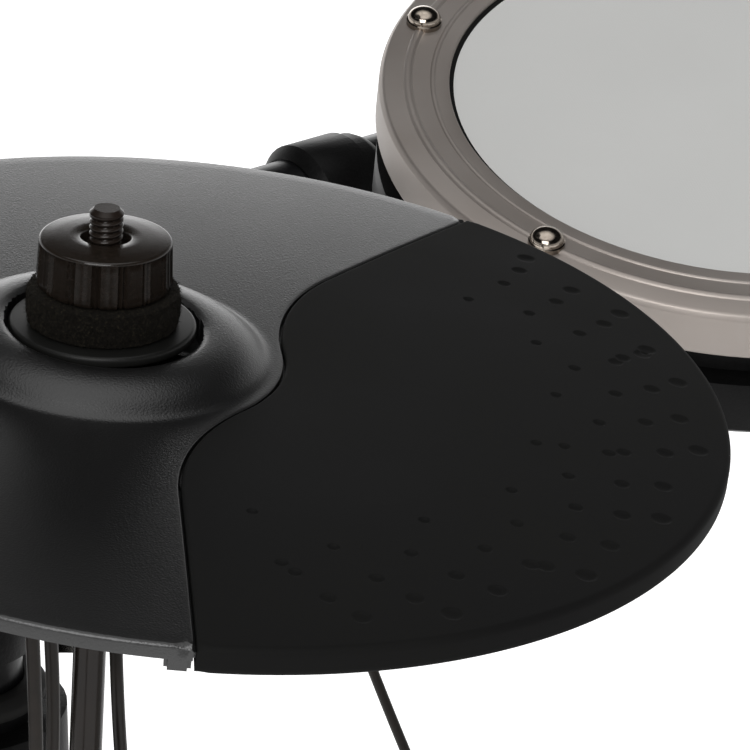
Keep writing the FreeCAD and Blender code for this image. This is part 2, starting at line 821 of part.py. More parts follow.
for index, post in enumerate(posts):
    foot = lathe((0, 0), [(foot_radius, 0), (foot_radius, foot_sole), (tube_radius + tube_wall, foot_height),
                          (tube_radius + tube_fit, foot_height), (tube_radius + tube_fit, foot_sole),
                          (0, foot_sole)])
    feet.append(foot.translated(post))
    bore = (extension_radius + tube_fit, boom_radius + turn_gap, 0, boom_radius + turn_gap, 0)[index]
    plug = tube_radius - tube_wall - tube_fit
    cap = lathe((bore, -cap_plug), [(plug, -cap_plug), (plug, 0), (cap_flange, 0),
                                    (cap_flange, cap_height / 2), (cap_flange - cap_height / 2, cap_height),
                                    (bore, cap_height)])
    caps.append(cap.translated(post + UP * post_top))
plug = extension_radius - extension_wall - tube_fit
dome = lathe((0, -cap_plug), [(plug, -cap_plug), (plug, 0), (extension_radius, 0),
                              (extension_radius - cap_height, cap_height), (0, cap_height)])
caps.append(dome.translated(posts[0] + UP * extension_top))
nodes["feet_and_caps"] = Part.makeCompound(feet + caps)

# Collar on the post extension, locked by its own wing bolt
collar_centre = posts[0] + UP * collar_place
half_collar = UP * (collar_height / 2)
collar_way = unit(V(*collar_shares))
collar = bar(collar_centre - half_collar, collar_centre + half_collar, extension_radius + collar_wall)
collar = collar.cut(bar(collar_centre - UP * collar_height, collar_centre + UP * collar_height,
                        extension_radius + tube_fit))
bolted(collar, collar_centre, collar_way, extension_radius, collar_wall)

# Featured cymbal pad on its rod, in a tube clamped beside the left rear post
hihat_at = V(*hihat_pivot)
rod_way = leaning(hihat_rod_shares)
pad_way = leaning(hihat_lean_shares)
bow = cymbal_bow()
rubber = cymbal_rubber()
nodes["hihat_bow"] = set_on(bow.rotated(ORIGIN, UP, hihat_zone_angle), hihat_at, pad_way)
nodes["hihat_rubber"] = set_on(rubber.rotated(ORIGIN, UP, hihat_zone_angle), hihat_at, pad_way)
hihat_housing = Part.makeCompound([cymbal_base(jack_places)] + jack_plugs())
nodes["hihat_base"] = set_on(hihat_housing, hihat_at, pad_way)
nodes["hihat_sensor"] = set_on(cymbal_sensor(), hihat_at, pad_way)
nodes["hihat_seats"] = set_on(seats(), hihat_at, rod_way)
nodes["hihat_felt"] = set_on(felt(), hihat_at, rod_way)
nodes["hihat_knob"] = set_on(knob(), hihat_at, rod_way)
tube_top = hihat_at - rod_way * (hihat_rod_length - cap_plug)
tube_end = tube_top - rod_way * hihat_tube_length
holder = bar(tube_end, tube_top, hihat_tube_radius)
holder = holder.cut(bar(tube_top - rod_way * cap_plug, tube_top + rod_way * overrun, rod_radius + tube_fit))
nodes["hihat_rod"] = Part.makeCompound([set_on(rod(hihat_rod_length), hihat_at, rod_way), holder])
clamp_on_rod = hihat_at - rod_way * hihat_clamp_drop
clamp_on_post = V(posts[0].x, posts[0].y, clamp_on_rod.z)
bolted(tube_clamp(clamp_on_post, UP, tube_radius, clamp_on_rod, rod_way, hihat_tube_radius),
       clamp_on_post, unit(clamp_on_post - clamp_on_rod), tube_radius, clamp_wall)

# Crash and ride, each on a boom that swivels in its post
for name, post, pivot, shares, angle in (
        ("crash", posts[1], crash_pivot, crash_rod_shares, crash_zone_angle),
        ("ride", posts[3], ride_pivot, ride_rod_shares, ride_zone_angle)):
    at = V(*pivot)
    way = leaning(shares)
    nodes[name + "_bow"] = set_on(bow.rotated(ORIGIN, UP, angle), at, way)
    nodes[name + "_rubber"] = set_on(rubber.rotated(ORIGIN, UP, angle), at, way)
    nodes[name + "_base"] = set_on(cymbal_base(jack_places[:1]), at, way)
    nodes[name + "_washers"] = set_on(Part.makeCompound(seats().Solids + [felt()]), at, way)
    nodes[name + "_knob"] = set_on(knob(), at, way)
    knuckle = post + UP * boom_rise
    arm_end = at - way * cymbal_rod_length
    collar_low = post + UP * (post_top + cap_height + seat_gap)
    boom = fused([bar(post + UP * boom_low, knuckle, boom_radius), Part.makeSphere(boom_knuckle, knuckle),
                  bar(collar_low, collar_low + UP * boom_collar_height, cap_flange),
                  bar(knuckle, arm_end, boom_arm_radius), Part.makeSphere(boom_arm_radius, arm_end)])
    stem = set_on(rod(cymbal_rod_length), at, way)
    nodes[name + "_boom"] = fused([boom, stem])

# Drum pads on their arms
left_way = unit(posts[2] - posts[1])
right_way = unit(posts[2] - posts[3])
side_way = unit(posts[4] - posts[3])
arms = []
pad_frames = {}
for name, head, place, shares, side, tube_at, tube_way, shift in (
        ("tom1", tom_head, tom1_place, tom1_lean_shares, 1,
         posts[1] + level + (posts[2] - posts[1]) * tom_clamp_share, left_way, UP),
        ("tom2", tom_head, tom2_place, tom2_lean_shares, -1,
         posts[3] + level + (posts[2] - posts[3]) * tom_clamp_share, right_way, UP),
        ("tom3", tom_head, tom3_place, tom3_lean_shares, 1,
         posts[3] + level + (posts[4] - posts[3]) * tom3_clamp_share, side_way, UP * -1),
        ("snare", snare_head, snare_place, snare_lean_shares, -1,
         posts[0] + UP * snare_clamp_height, UP, unit(V(*snare_offset_shares)))):
    at = V(*place)
    lean = leaning(shares)
    axis = unit(UP.cross(lean))
    pad_frames[name] = (at, lean, axis)
    hold = tube_at + shift * arm_offset
    arm, arm_way = pad_arm(at, lean, side, hold)
    arms.append(arm)
    bolted(tube_clamp(tube_at, tube_way, tube_radius, hold, arm_way, arm_radius),
           tube_at, shift * -1, tube_radius, clamp_wall)
    shell = [set_on(pad_shell(head, axis), at, lean)]
    hoops = [set_on(pad_hoop(head), at, lean)]
    bolts = [set_on(bolt, at, lean) for bolt in tension_bolt_set(head)]
    sensor = set_on(pad_sensor(), at, lean)
    nodes[name + "_head"] = set_on(mesh_head(head), at, lean)
    if name == "tom1":
        top = pad_socket(head) + UP * shell_floor
        neck = top - UP * plug_length
        plug = fused([bar(top, neck, plug_radius),
                      bar(neck, neck - UP * plug_neck_length, plug_neck_radius)])
        shell.append(set_on(plug, at, lean))
        nodes["tom1_bolts"] = Part.makeCompound(bolts)
        nodes["tom1_sensor"] = sensor
        nodes["tom1_hoop"] = hoops[0]
    else:
        nodes[name + "_hoop"] = Part.makeCompound(hoops + bolts)
        shell += sensor.Solids
    nodes[name + "_shell"] = Part.makeCompound(shell)
nodes["pad_arms"] = Part.makeCompound(arms)


def footboard(width, length, angle, pin):
    """A ribbed footboard on its heel pin, raised by its rest angle."""
    plate = block(width, length, board_thick, V(0, length / 2, -board_thick / 2))
    half = V(width / 2, 0, 0)
    hub = bar(half * -1, half, heel_hub_radius)
    pitch = length * board_rib_margin_share / board_ribs
    ribs = [block(width - 2 * board_rib_width, board_rib_width, board_rib_rise + overrun,
                  V(0, length - pitch * (rib + 1 / 2), board_thick / 2 - overrun))
            for rib in range(board_ribs)]
    board = fused([plate, hub] + ribs).cut(bar(half * -2, half * 2, heel_pin_radius + turn_gap))
    return board.rotate(ORIGIN, V(1, 0, 0), angle).translated(pin)


def heel(width, pin, floor):
    """The two heel lugs of a pedal with the pin across them."""
    across = V(width / 2 + heel_side_gap + heel_lug_width, 0, 0)
    shapes = [bar(pin - across, pin + across, heel_pin_radius)]
    for side in (1, -1):
        middle = pin + V(side * (across.x - heel_lug_width / 2), 0, 0)
        low = V(middle.x, middle.y, floor)
        shapes.append(block(heel_lug_width, heel_lug_depth, pin.z + heel_hub_radius - floor, low))
    return shapes


# Kick tower: notched floor plate, columns, housing and strike face
plate_middle = plate_rear - plate_length / 2
plate_front = plate_rear - plate_length
floor_plate = block(plate_width, plate_length, plate_thick_floor, V(0, plate_middle, 0))
notch = block(notch_width, notch_length, plate_thick_floor + 2 * overrun,
              V(0, plate_front + notch_length / 2 - overrun, -overrun))
drum_front = V(0, -drum_setback - drum_depth / 2, drum_height)
drum_back = V(0, drum_depth / 2 - drum_setback, drum_height)
columns = [block(column_width, column_depth, drum_height - plate_thick_floor,
                 V(side * column_spread, -drum_setback, plate_thick_floor - overrun / 2))
           for side in (1, -1)]
along = V(0, overrun, 0)
tower = fused([floor_plate.cut(notch)] + columns)
nodes["kick_frame"] = tower.cut(bar(drum_front - along, drum_back + along, drum_radius + seat_gap))
cup = bar(drum_front, drum_back, drum_radius)
inside = bar(drum_front - along, drum_back - V(0, drum_wall, 0), drum_radius - drum_wall)
nodes["kick_housing"] = cup.cut(inside)
face_front = drum_front - V(0, face_proud, 0)
nodes["kick_face"] = bar(face_front, face_front + V(0, face_thick, 0), drum_radius - drum_wall - seat_gap)
tie = V(posts[2].x, posts[2].y, drum_height)
tie_start = drum_back + V(0, seat_gap, 0)
half = UP * arm_clamp_half
sleeve = fused([bar(tie - half, tie + half, tube_radius + clamp_wall), bar(tie_start, tie, tie_radius)])
bolted(sleeve.cut(bar(tie - half * 2, tie + half * 2, tube_radius + tube_fit)), tie, V(0, 1, 0),
       tube_radius, clamp_wall)

# Kick pedal: base clamped on the floor plate, posts, axle, footboard and beater
pedal_low = V(0, pedal_front - pedal_length / 2, 0)
axle = V(0, pedal_front - pedal_post_setback, axle_height)
pin = V(0, pedal_front - pedal_length + heel_setback, heel_pin_height)
post_side = pedal_width / 2 - pedal_post_width / 2
jaw_low = plate_thick_floor + seat_gap
base = [block(pedal_width, pedal_length, pedal_thick, pedal_low),
        block(jaw_width, jaw_reach, jaw_thick, V(0, pedal_front, jaw_low)),
        block(jaw_width, jaw_reach / 2, jaw_low + jaw_thick / 2 - pedal_thick / 2,
              V(0, pedal_front - jaw_reach / 4, pedal_thick / 2))]
for side in (1, -1):
    base.append(block(pedal_post_width, pedal_post_depth, pedal_post_height - pedal_thick / 2,
                      V(side * post_side, axle.y, pedal_thick / 2)))
base.append(bar(axle - V(post_side, 0, 0), axle + V(post_side, 0, 0), axle_radius))
nodes["kick_pedal_base"] = fused(base + heel(board_width, pin, pedal_thick / 2))
nodes["kick_footboard"] = footboard(board_width, board_length, board_angle, pin)
hub_half_way = V(hub_width / 2, 0, 0)
swing = math.radians(shaft_angle)
shaft_way = V(0, -math.sin(swing), math.cos(swing))
strike_way = V(0, math.cos(swing), math.sin(swing))
tip = axle + shaft_way * shaft_length
half_beater = strike_way * (beater_length / 2)
beater = fused([bar(axle - hub_half_way, axle + hub_half_way, cam_radius), bar(axle, tip, shaft_radius),
                bar(tip - half_beater, tip + half_beater, beater_radius)])
hub_bore_cut = bar(axle - hub_half_way * 2, axle + hub_half_way * 2, axle_radius + turn_gap)
nodes["kick_beater"] = beater.cut(hub_bore_cut)

# Foot controller: base with its sensor tower, and its footboard
control_low = V(control_place[0], control_place[1], 0)
control_pin = control_low + V(0, heel_setback - control_length / 2, heel_pin_height)
tower_low = control_low + V(0, control_length / 2 - control_tower_depth / 2, pedal_thick / 2)
control_socket = tower_low + V(0, control_tower_depth / 2, control_tower_height / 2)
inward = V(0, -plug_length, 0)
tower = block(control_width, control_tower_depth, control_tower_height, tower_low)
nodes["control_base"] = fused([block(control_width, control_length, pedal_thick, control_low), tower]
                              + heel(control_board_width, control_pin, pedal_thick / 2)).cut(
    bar(control_socket + inward, control_socket - inward, jack_radius))
nodes["control_board"] = footboard(control_board_width, control_board_length, control_board_angle,
                                   control_pin)

# Sound module: built flat with its panel on top, then sloped, turned and set on its bracket
module_frame = FreeCAD.Placement(V(*module_place), FreeCAD.Rotation(UP, module_turn)
                                 .multiply(FreeCAD.Rotation(V(1, 0, 0), module_slope)))


def in_module(shape):
    """A shape of the module, moved from its own frame."""
    return shape.transformed(module_frame.toMatrix())


case = block(module_width, module_length, module_thick, UP * -module_thick)
case = case.makeFillet(module_corner, [e for e in case.Edges
                                       if abs(e.Vertexes[0].Z - e.Vertexes[1].Z) > module_wall])
hollow = block(module_width - 2 * panel_inset, module_length - 2 * panel_inset, module_thick,
               UP * (module_wall - module_thick))
case = case.cut(hollow)
wall_out = V(module_width / 2, 0, -module_thick / 2)
sockets = [wall_out + V(0, (row - 3 / 2) * socket_pitch, 0) for row in range(4)]
across = V(panel_inset + overrun, 0, 0)
case = case.cut(Part.makeCompound([bar(at - across, at + across, jack_radius) for at in sockets]))
nodes["module_case"] = in_module(case)
panel_size = (module_width - 2 * panel_inset - 2 * seat_gap, module_length - 2 * panel_inset - 2 * seat_gap)
dial_at = V(module_width * dial_share, 0, 0)
volume_at = V(module_width * volume_share, module_length * volume_drop_share, 0)
keys_at = [V(module_width * share, module_length * key_drop_share, 0) for share in key_shares]
deep = UP * (panel_thick + overrun)
holes = [bar(at - deep, at + deep, spindle_radius + turn_gap) for at in (dial_at, volume_at)]
holes += [bar(at - deep, at + deep, key_radius + turn_gap) for at in keys_at]
panel = block(panel_size[0], panel_size[1], panel_thick, UP * -panel_thick)
nodes["module_panel"] = in_module(panel.cut(Part.makeCompound(holes)))
screen_at = V(-module_width * screen_share, module_length * screen_rise_share, 0)
nodes["module_screen"] = in_module(block(screen_width, screen_length, screen_thick, screen_at))
for name, at, radius, height in (("module_dial", dial_at, dial_radius, dial_height),
                                 ("module_volume", volume_at, volume_radius, volume_height)):
    low = at + UP * knob_gap
    cap = Part.makeCone(radius, radius - knob_gap, height, low)
    nodes[name] = in_module(fused([cap, bar(low - UP * spindle_length, low, spindle_radius)]))
for name, at in zip(("module_key_a", "module_key_b"), keys_at):
    nodes[name] = in_module(bar(at + UP * (key_proud - key_height), at + UP * key_proud, key_radius))
under = module_frame.multVec(UP * -(module_thick + seat_gap + bracket_plate_thick / 2))
mount = V(posts[0].x, posts[0].y, bracket_height_on_post)
plate = block(bracket_plate_width, bracket_plate_length, bracket_plate_thick,
              UP * -(module_thick + seat_gap + bracket_plate_thick))
sleeve = fused([bar(mount - half, mount + half, tube_radius + clamp_wall),
                bar(under, mount, bracket_arm_radius), in_module(plate)])
cover = in_module(block(module_width, module_length, module_thick, UP * (-module_thick - seat_gap)))
bolted(sleeve.cut(bar(mount - half * 2, mount + half * 2, tube_radius + tube_fit)).cut(cover), mount,
       unit(V(*bracket_bolt_shares)), tube_radius, clamp_wall)
plugs = []
plug_ends = []
for at in sockets:
    inner = at - V(panel_inset, 0, 0)
    neck = inner + V(plug_length, 0, 0)
    end = neck + V(plug_neck_length, 0, 0)
    plugs.append(in_module(fused([bar(inner, neck, plug_radius), bar(neck, end, plug_neck_radius)])))
    plug_ends.append(module_frame.multVec(end))
control_neck = control_socket - inward / 2
control_end = control_neck + V(0, plug_neck_length, 0)
plugs.append(fused([bar(control_socket + inward / 2, control_neck, plug_radius),
                    bar(control_neck, control_end, plug_neck_radius)]))
nodes["cable_plugs"] = Part.makeCompound(plugs)
nodes["rack_clamps"] = Part.makeCompound(clamps)
nodes["wing_bolts"] = Part.makeCompound(wing_bolts)

hihat_frame = FreeCAD.Placement(hihat_at, FreeCAD.Rotation(UP, pad_way))
tom1_frame = FreeCAD.Placement(pad_frames["tom1"][0], FreeCAD.Rotation(UP, pad_frames["tom1"][1]))
low_neck = plug_length + plug_neck_length
hihat_drop = UP * (base_low + base_wall - low_neck - cord_gap)
hihat_ends = [hihat_frame.multVec(spread(jack_angle, place) + hihat_drop) for place in jack_places]
tom1_end = tom1_frame.multVec(pad_socket(tom_head) + UP * (shell_floor - low_neck - tilt_cord_gap))


for name, route, first, last in (
        ("hihat_cord_a", hihat_cord_a_route, hihat_ends[0], plug_ends[0]),
        ("hihat_cord_b", hihat_cord_b_route, hihat_ends[1], plug_ends[1]),
        ("control_cord", control_cord_route, plug_ends[2], control_end),
        ("tom_cord", tom_cord_route, tom1_end, plug_ends[3])):
    points = [first] + [V(*point) for point in route] + [last]
    nodes[name], length, bend = swept(points, cord_diameter / 2, cord_bend_share)
    full = math.pi * (cord_diameter / 2) ** 2 * length
    print(name, "length", round(length), "least bend", round(bend, 1),
          "volume share", round(nodes[name].Volume / full, 3))

os.makedirs("parts", exist_ok=True)
for name, shape in nodes.items():
    shape.exportStep("parts/" + name + ".step")
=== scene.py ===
import json
import math

import bmesh
import bpy
from mathutils import Matrix, Vector, noise
from mathutils.geometry import delaunay_2d_cdt

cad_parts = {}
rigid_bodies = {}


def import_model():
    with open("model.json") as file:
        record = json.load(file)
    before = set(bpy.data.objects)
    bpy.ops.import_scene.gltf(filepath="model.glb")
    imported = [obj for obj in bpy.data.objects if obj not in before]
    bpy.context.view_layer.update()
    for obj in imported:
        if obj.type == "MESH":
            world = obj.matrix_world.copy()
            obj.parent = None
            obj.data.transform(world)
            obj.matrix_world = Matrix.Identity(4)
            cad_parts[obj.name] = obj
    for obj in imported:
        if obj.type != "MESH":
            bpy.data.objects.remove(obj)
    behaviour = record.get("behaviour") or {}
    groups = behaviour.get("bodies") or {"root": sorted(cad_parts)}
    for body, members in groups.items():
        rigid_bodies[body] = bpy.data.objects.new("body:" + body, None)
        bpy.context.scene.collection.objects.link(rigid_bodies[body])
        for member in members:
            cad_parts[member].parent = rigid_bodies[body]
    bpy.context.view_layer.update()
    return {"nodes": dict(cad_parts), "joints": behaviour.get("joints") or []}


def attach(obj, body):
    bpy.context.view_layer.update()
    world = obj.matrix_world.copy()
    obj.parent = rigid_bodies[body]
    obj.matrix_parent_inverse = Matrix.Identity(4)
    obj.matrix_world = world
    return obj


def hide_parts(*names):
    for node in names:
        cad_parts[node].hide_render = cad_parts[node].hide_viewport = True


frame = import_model()
nodes = frame["nodes"]
joints = {joint["name"]: joint for joint in frame["joints"]}

# Rack tubes: posts, bars and booms of drawn steel tube. They have a satin black powder coat with a fine
# orange peel and rubbed places, so that each tube shows a soft line of light along it.
peel_size = 0.0016
rub_size = 0.03
bump_depth = 0.0003


def linear(hex_colour):
    """A colour written in sRGB hex, as linear values with an alpha of one."""
    parts = [int(hex_colour[start:start + 2], 16) / 255 for start in (1, 3, 5)]
    return [part / 12.92 if part <= 0.04045 else ((part + 0.055) / 1.055) ** 2.4 for part in parts] + [1.0]


def add(tree, kind, inputs=None, **settings):
    """A node with its settings, each input set to a value or linked from a socket."""
    node = tree.nodes.new(kind)
    for name, value in settings.items():
        setattr(node, name, value)
    for name, value in (inputs or {}).items():
        if isinstance(value, bpy.types.NodeSocket):
            tree.links.new(value, node.inputs[name])
        else:
            node.inputs[name].default_value = value
    return node


def finish(name, **surface):
    """A material whose shader has those values, with its tree, its shader and its object coordinates."""
    material = bpy.data.materials.new(name)
    material.use_nodes = True
    tree = material.node_tree
    tree.nodes.clear()
    values = {key.replace("_", " "): value for key, value in surface.items()}
    shader = add(tree, "ShaderNodeBsdfPrincipled", values)
    add(tree, "ShaderNodeOutputMaterial", {"Surface": shader.outputs[0]})
    place = add(tree, "ShaderNodeTexCoord").outputs["Object"]
    return material, tree, shader, place


def graded(tree, source, stops):
    """A ramp on a socket, with stops of a place and a hex colour or a grey level."""
    node = add(tree, "ShaderNodeValToRGB", {"Fac": source})
    marks = node.color_ramp.elements
    while len(marks) < len(stops):
        marks.new(0.5)
    for mark, (spot, shade) in zip(marks, stops):
        mark.position = spot
        mark.color = linear(shade) if isinstance(shade, str) else (shade, shade, shade, 1.0)
    return node.outputs["Color"]


def surfaced(tree, shader, tone=None, gloss=None, height=None, strength=0.2, depth=bump_depth):
    """Links a shader's colour, its roughness and a bump of a depth in metres."""
    if tone:
        tree.links.new(tone, shader.inputs["Base Color"])
    if gloss:
        tree.links.new(gloss, shader.inputs["Roughness"])
    if height:
        bump = add(tree, "ShaderNodeBump", {"Height": height, "Strength": strength, "Distance": depth})
        tree.links.new(bump.outputs["Normal"], shader.inputs["Normal"])


def clouded(name, cloud, tones, gloss, strength, grain=None, depth=bump_depth, **surface):
    """A finish whose tone and gloss drift over a cloud, with a bump of a grain or of the cloud itself.

    A cloud and a grain are each the size of a pattern in metres and its detail."""
    material, tree, shader, place = finish(name, **surface)
    drift, fine = (add(tree, "ShaderNodeTexNoise",
                       {"Vector": place, "Scale": 1 / size, "Detail": detail}).outputs[0]
                   for size, detail in (cloud, grain or cloud))
    surfaced(tree, shader, graded(tree, drift, tones), graded(tree, drift, gloss), fine, strength, depth)
    return material


def shown(name, mesh, body, slot, material, *replaced):
    """A finished mesh as a piece that rides a body, takes a finish and stands for solids. Its slot is not used.
    """
    piece = bpy.data.objects.new(name, mesh)
    bpy.context.collection.objects.link(piece)
    mesh.materials.clear()
    mesh.materials.append(material)
    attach(piece, body)
    if replaced:
        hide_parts(*replaced)
    return piece


def dressed(name, material):
    """A solid of the frame with its finish."""
    nodes[name].data.materials.clear()
    nodes[name].data.materials.append(material)


# Satin black powder coat: a fine orange peel, and a slow drift in gloss where hands rub it.
tube_coat = clouded("satin_powder_coat", (rub_size, 5.0), [(0.35, "#080809"), (0.7, "#0D0D0E")],
                    [(0.3, 0.28), (0.75, 0.42)], 0.15, (peel_size, 1.0), Specular_IOR_Level=0.12,
                    Coat_Weight=0.06, Coat_Roughness=0.2)
for node in ("rack_posts", "rack_bars"):
    dressed(node, tube_coat)

# Clamps, feet and bolts of the rack: junction and arm clamps moulded in glass-filled nylon, rubber feet and
# push-in caps, and zinc-plated wing bolts. Their edges are rounded as a mould or a die leaves them.
mould_round = 0.0012
small_round = 0.0006
bevel_steps = 2
merge_gap = 0.000002
flat_angle = math.radians(0.8)
edge_angle = math.radians(38)
fleck_size = 0.0009
wear_polish = 0.06
wear_dull = 0.08


def baked(work):
    """The evaluated mesh of a working object, which is then removed."""
    graph = bpy.context.evaluated_depsgraph_get()
    mesh = bpy.data.meshes.new_from_object(work.evaluated_get(graph))
    bpy.data.objects.remove(work)
    return mesh


def softened(name, width):
    """A copy of a solid of the frame with its flat faces joined and its edges rounded."""
    shell = bmesh.new()
    shell.from_mesh(nodes[name].data)
    bmesh.ops.remove_doubles(shell, verts=shell.verts, dist=merge_gap)
    bmesh.ops.dissolve_limit(shell, angle_limit=flat_angle, verts=shell.verts, edges=shell.edges)
    mesh = bpy.data.meshes.new(name + "_rounded")
    shell.to_mesh(mesh)
    shell.free()
    mesh.shade_smooth()
    work = bpy.data.objects.new(name + "_work", mesh)
    bpy.context.collection.objects.link(work)
    edge = work.modifiers.new("mould_edge", "BEVEL")
    edge.width = width
    edge.segments = bevel_steps
    edge.limit_method = "ANGLE"
    edge.angle_limit = edge_angle
    mesh = baked(work)
    mesh.set_sharp_from_angle(angle=edge_angle)
    return mesh


def moulded_plastic(name, dark, light, rough, grain, strength, shine=0.1):
    """Moulded plastic: a fine fleck in its tone and the grain of its mould in its surface."""
    material, tree, shader, place = finish(name, Specular_IOR_Level=shine)
    fleck = add(tree, "ShaderNodeTexNoise",
                {"Vector": place, "Scale": 1 / grain, "Detail": 3.0}).outputs[0]
    wear = add(tree, "ShaderNodeTexNoise",
               {"Vector": place, "Scale": 1 / rub_size, "Detail": 4.0}).outputs[0]
    surfaced(tree, shader, graded(tree, fleck, [(0.35, dark), (0.75, light)]),
             graded(tree, wear, [(0.3, rough - wear_polish), (0.75, rough + wear_dull)]), fleck, strength)
    return material


def moulded(name, node, width, body, slot, material):
    """A piece that stands for one solid of the frame, with that solid's edges rounded."""
    shown(name, softened(node, width), body, slot, material, node)


# Glass-filled nylon shows a fine fleck. Foot rubber is dull, and dusty in its low places. Bright zinc has a
# hard grey gleam, clouded by a fine crystal and by handling.
clamp_nylon = moulded_plastic("glass_filled_nylon", "#080808", "#101010", 0.42, fleck_size, 0.25)
pad_rubber = clouded("foot_rubber", (rub_size, 6.0), [(0.4, "#131312"), (0.75, "#222120")],
                     [(0.3, 0.62), (0.7, 0.85)], 0.1, Specular_IOR_Level=0.25)
zinc = clouded("zinc_plated_steel", (rub_size, 8.0), [(0.3, "#83807C"), (0.7, "#B3B0AB")],
               [(0.3, 0.2), (0.75, 0.36)], 0.1, Metallic=1.0)
moulded("rack_clamp_set", "rack_clamps", mould_round, "rack", "clamp_plastic", clamp_nylon)
moulded("rack_feet", "feet_and_caps", small_round, "rack", "foot_rubber", pad_rubber)
moulded("wing_bolt_set", "wing_bolts", small_round, "rack", "bolt_steel", zinc)

# Cymbal rods: a steel rod in a dark nickel finish, held in a tube beside the post, with a rolled metric
# thread on its free end. The tube and the rod pick up long warm streaks from the room.
rod_radius = 0.004
rod_top = 0.0363
thread_low = 0.014
thread_pitch = 0.0015
thread_depth = 0.00062
thread_fade = 0.0009
thread_rings = 10
tip_chamfer = 0.001
rod_length = 0.145
holder_radius = 0.011
holder_inset = 0.022
holder_length = 0.217
holder_round = 0.001
draw_width = 0.001 / 1.4
draw_length = 0.04
fine_bump = 0.0001
round_steps = 64


def set_on(place, axis, turn=0.0):
    """The place of a piece that is built about Z, with Z along an axis, after a turn about Z."""
    lean = Vector((0, 0, 1)).rotation_difference(Vector(axis)).to_matrix().to_4x4()
    return Matrix.Translation(Vector(place)) @ lean @ Matrix.Rotation(turn, 4, "Z")


def rounded(profile, steps=4):
    """A profile of (radius, height, fillet) points with its corners rounded by their fillets."""
    points = [Vector(point[:2]) for point in profile]
    line = []
    for index, corner in enumerate(points):
        fillet = profile[index][2] if len(profile[index]) > 2 else 0
        if not fillet:
            line.append(corner)
            continue
        back = (points[index - 1] - corner).normalized()
        on = (points[(index + 1) % len(points)] - corner).normalized()
        half = back.angle(on) / 2
        reach = fillet / math.tan(half)
        centre = corner + (back + on).normalized() * (fillet / math.sin(half))
        first = corner + back * reach - centre
        last = corner + on * reach - centre
        for step in range(steps + 1):
            line.append(centre + first.slerp(last, step / steps) * fillet)
    return [(max(point.x, 0.0), point.y) for point in line]


def turned(profile, steps=round_steps, shape=None):
    """A closed mesh turned about Z from a closed profile. A shape may change a radius by angle and height."""
    solid = bmesh.new()
    rings = []
    for radius, height in profile:
        if radius < merge_gap:
            rings.append([solid.verts.new((0, 0, height))] * steps)
            continue
        ring = []
        for step in range(steps):
            angle = math.tau * step / steps
            reach = shape(radius, angle, height) if shape else radius
            ring.append(solid.verts.new((reach * math.cos(angle), reach * math.sin(angle), height)))
        rings.append(ring)
    for lower, upper in zip(rings, rings[1:] + rings[:1]):
        for step in range(steps):
            after = (step + 1) % steps
            corners = []
            for vert in (lower[step], lower[after], upper[after], upper[step]):
                if vert not in corners:
                    corners.append(vert)
            if len(corners) > 2:
                solid.faces.new(corners)
    bmesh.ops.recalc_face_normals(solid, faces=solid.faces)
    return solid


def meshed(name, solids, place=None, sharp=edge_angle):
    """One smooth mesh of several working solids, each put at its place."""
    mesh = bpy.data.meshes.new(name)
    whole = bmesh.new()
    for solid in solids:
        solid.to_mesh(mesh)
        whole.from_mesh(mesh)
        solid.free()
    if place:
        bmesh.ops.transform(whole, matrix=place, verts=whole.verts)
    whole.to_mesh(mesh)
    whole.free()
    mesh.shade_smooth()
    mesh.set_sharp_from_angle(angle=sharp)
    return mesh


def threaded_rod(length):
    """A round rod about its pivot, with a helical thread up to its chamfered tip."""
    high = rod_top - tip_chamfer

    def thread(radius, angle, height):
        ridge = abs(math.sin(math.pi * (height / thread_pitch - angle / math.tau)))
        ends = min(height - thread_low, high - height)
        return radius - thread_depth * (1 - ridge) * min(1.0, max(0.0, ends / thread_fade))

    count = round((high - thread_low) / thread_pitch * thread_rings)
    rise = (high - thread_low) / count
    profile = [(0, -length), (rod_radius, -length)]
    profile += [(rod_radius, thread_low + step * rise) for step in range(count + 1)]
    profile += [(rod_radius - tip_chamfer, rod_top), (0, rod_top)]
    return turned(profile, round_steps, thread)


def black_nickel():
    """Black nickel on steel: a polished brown-black plate with long faint draw lines and clouding."""
    material, tree, shader, place = finish("black_nickel", Specular_IOR_Level=0.22, Metallic=0.08)
    cloud = add(tree, "ShaderNodeTexNoise",
                {"Vector": place, "Scale": 1 / rub_size, "Detail": 6.0}).outputs[0]
    runs = (1 / draw_width, 1 / draw_width, 1 / draw_length)
    drawn = add(tree, "ShaderNodeMapping", {"Vector": place, "Scale": runs}).outputs[0]
    lines = add(tree, "ShaderNodeTexNoise", {"Vector": drawn, "Scale": 1.0, "Detail": 3.0}).outputs[0]
    surfaced(tree, shader, graded(tree, cloud, [(0.3, "#16120F"), (0.7, "#211B17")]),
             graded(tree, cloud, [(0.3, 0.16), (0.75, 0.26)]), lines, 0.05, fine_bump)
    return material


dark_nickel = black_nickel()
# Dark bronze lacquer on steel tube is smooth and deep, with a faint haze.
bronze_coat = clouded("bronze_lacquer", (rub_size, 5.0), [(0.3, "#100D0A"), (0.7, "#181410")],
                      [(0.3, 0.16), (0.75, 0.26)], 0.03, Specular_IOR_Level=0.1)
holder_top = holder_inset - rod_length
holder_low = holder_top - holder_length
holder_floor = holder_top - holder_inset
holder = turned(rounded([(0, holder_low), (holder_radius, holder_low, holder_round),
                         (holder_radius, holder_top, mould_round), (rod_radius, holder_top),
                         (rod_radius, holder_floor), (0, holder_floor)]))
rod_place = set_on(joints["hihat_rock"]["pos_m"], joints["hihat_nut_turn"]["axis"])
shown("hihat_threaded_rod", meshed("hihat_rod_turned", [threaded_rod(rod_length)], rod_place), "rack",
      "rod_steel", dark_nickel, "hihat_rod")
shown("hihat_holder_tube", meshed("hihat_holder", [holder], rod_place), "rack", "rod_steel", bronze_coat,
      "hihat_rod")

